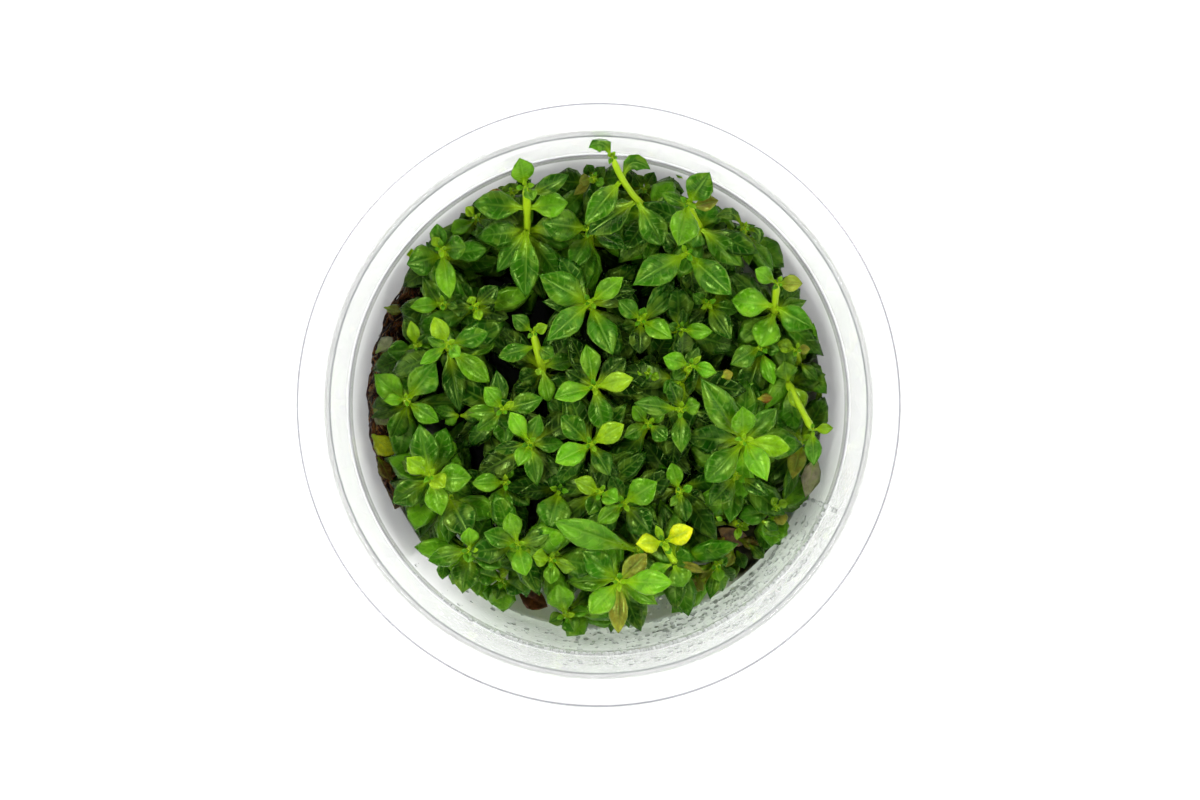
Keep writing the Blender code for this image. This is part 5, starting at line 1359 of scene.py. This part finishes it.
def make_withered_finish(name, rough):
    made, tree, shader = new_finish(name)
    own = own_tint(tree)
    rot = noise(tree, 600.0, 4.0, 0.7)
    blotch = mottled(tree, rot, 0.32, 0.68, (0.35, 0.30, 0.28, 1.0), (1.6, 1.5, 1.35, 1.0))
    bumped(tree, shader, rot, 0.0003, 0.7)
    fill_inputs(tree, shader, {
        "Base Color": tinted(tree, 1.0, own, blotch), "Roughness": rough, "Specular IOR Level": 0.2,
        "Subsurface Weight": 0.1, "Subsurface Scale": 0.0005,
    })
    return made


root_finish = make_withered_finish("old roots", 0.45)
old_leaf_finish = make_withered_finish("withered leaf", 0.38)
mat = new_piece("root_mat_looks", [mat_part(), root_part()], [root_finish], ["root_mat"])

OLD_LEAVES = [
    ("old_leaf_1", (-14.4, -32.5, 15.6), (-8.9, -35.4, 15.8), 3.8, 0.6, (0.10, 0.040, 0.012)),
    ("old_leaf_2", (27.0, -24.6, 15.2), (20.6, -21.4, 21.6), 3.4, 1.6, (0.15, 0.080, 0.022)),
]
for name, start, end, width, sag, tint in OLD_LEAVES:
    start, end = np.array([start]), np.array([end])
    middle = start * 0.55 + end * 0.45 + np.array([0.0, 0.0, sag])
    withered = leaf_part(start, middle, end, np.array([width]), np.array([tint]), FULL_LEAF, 0.25, 0.05, 0.25)
    new_piece(name + "_looks", [withered], [old_leaf_finish], [name])
print("roots:", ROOT_COUNT, "mat faces:", len(mat.data.polygons))

# %% [markdown]
# ## Drops on the wall
#
# The air in a closed cup is damp, and water has settled as fine drops on the inner wall, on the
# ledge and on the wet edge of the gel. They show best on the side without a label. A drop is a dome:
# its rings shrink with the cosine, and its height grows with the sine, of the same angle. Its foot
# is toned dark, as a round drop is where it bends the view aside, and its top is clear.

# %% Build the drops
DROP_COUNT = 1700
DROP_FLATNESS = 0.8
DROP_SIDES = 8
DROP_GROUPS = [0.34, 0.20, 0.46]
WALL_DROP_HEIGHTS = [35.0, 30.0, 25.0, 43.5, 19.0]
LEDGE_RADIUS, LEDGE_HEIGHT = 42.05, 37.9
GEL_RADIUS, GEL_HEIGHT = 39.3, 14.1
GAP_ANGLE = -1.05
WALL_SLOPE = 0.086


def drop_part(angle, radius, height, lean, size):
    """Closed domes from arrays of turn angle, radius, height and size in millimetres.

    The lean is the slope of what they lie on: 0 for a level floor, and 1 for the wall.
    """
    inward = np.where(lean > 0.5, WALL_SLOPE, 1.0)
    outward = unit(np.stack([np.cos(angle) * lean, np.sin(angle) * lean, -inward], axis=1))
    side = np.stack([-np.sin(angle), np.cos(angle), 0 * angle], axis=1)
    rise = np.cross(outward, side)
    centre = np.stack([radius * np.cos(angle), radius * np.sin(angle), height], axis=1)
    tilt = np.radians([0.0, 28.0, 56.0])
    turn = np.linspace(0, 2 * np.pi, DROP_SIDES, endpoint=False)
    ring = np.cos(turn)[None, :, None] * side[:, None] + np.sin(turn)[None, :, None] * rise[:, None]
    spread = size[:, None, None, None] * np.cos(tilt)[None, :, None, None]
    depth = size[:, None, None] * DROP_FLATNESS * np.sin(tilt)[None, :, None]
    rings = centre[:, None, None] + spread * ring[:, None] - (depth * outward[:, None])[:, :, None]
    tip = centre - outward * (size * DROP_FLATNESS)[:, None]
    return ringed_part(rings, centre, tip)


def make_water():
    made, tree, shader = new_finish("water")
    up = own_surface(tree)[1]
    tone = mixed(tree, step_between(tree, up, 0.05, 0.45), (0.40, 0.44, 0.40, 1.0), (0.98, 1.0, 0.98, 1.0))
    fill_inputs(tree, shader, {
        "Base Color": tone, "Roughness": spread(tree, noise(tree, 800.0), 0.0, 1.0, 0.0, 0.03),
        "Transmission Weight": 0.55, "IOR": 1.33,
    })
    return made


drop_angle = np.clip(np.radians(rng.normal(-68.0, 25.0, DROP_COUNT)), -2.42, -0.42)
drop_size = 0.13 + 0.37 * rng.random(DROP_COUNT) ** 2.5
group = rng.choice(3, DROP_COUNT, p=DROP_GROUPS)
group = np.where((group == 2) & (drop_angle > GAP_ANGLE), 0, group)
on_wall, on_ledge = group == 0, group == 1
height = np.where(on_wall, rng.choice(WALL_DROP_HEIGHTS, DROP_COUNT), GEL_HEIGHT)
height = height + np.where(on_wall, rng.normal(0.0, 1.2, DROP_COUNT), 0.0)
height = np.where(on_ledge, LEDGE_HEIGHT, np.maximum(height, GEL_HEIGHT))
gel_radius = GEL_RADIUS - 5.5 * rng.random(DROP_COUNT) ** 1.4
radius = np.where(on_wall, wall_radius(height) - 0.02, np.where(on_ledge, LEDGE_RADIUS, gel_radius))
drops = drop_part(drop_angle, radius, height, on_wall.astype(float), drop_size)
new_piece("wall_drops", [drops], [make_water()])
print("drops:", DROP_COUNT)
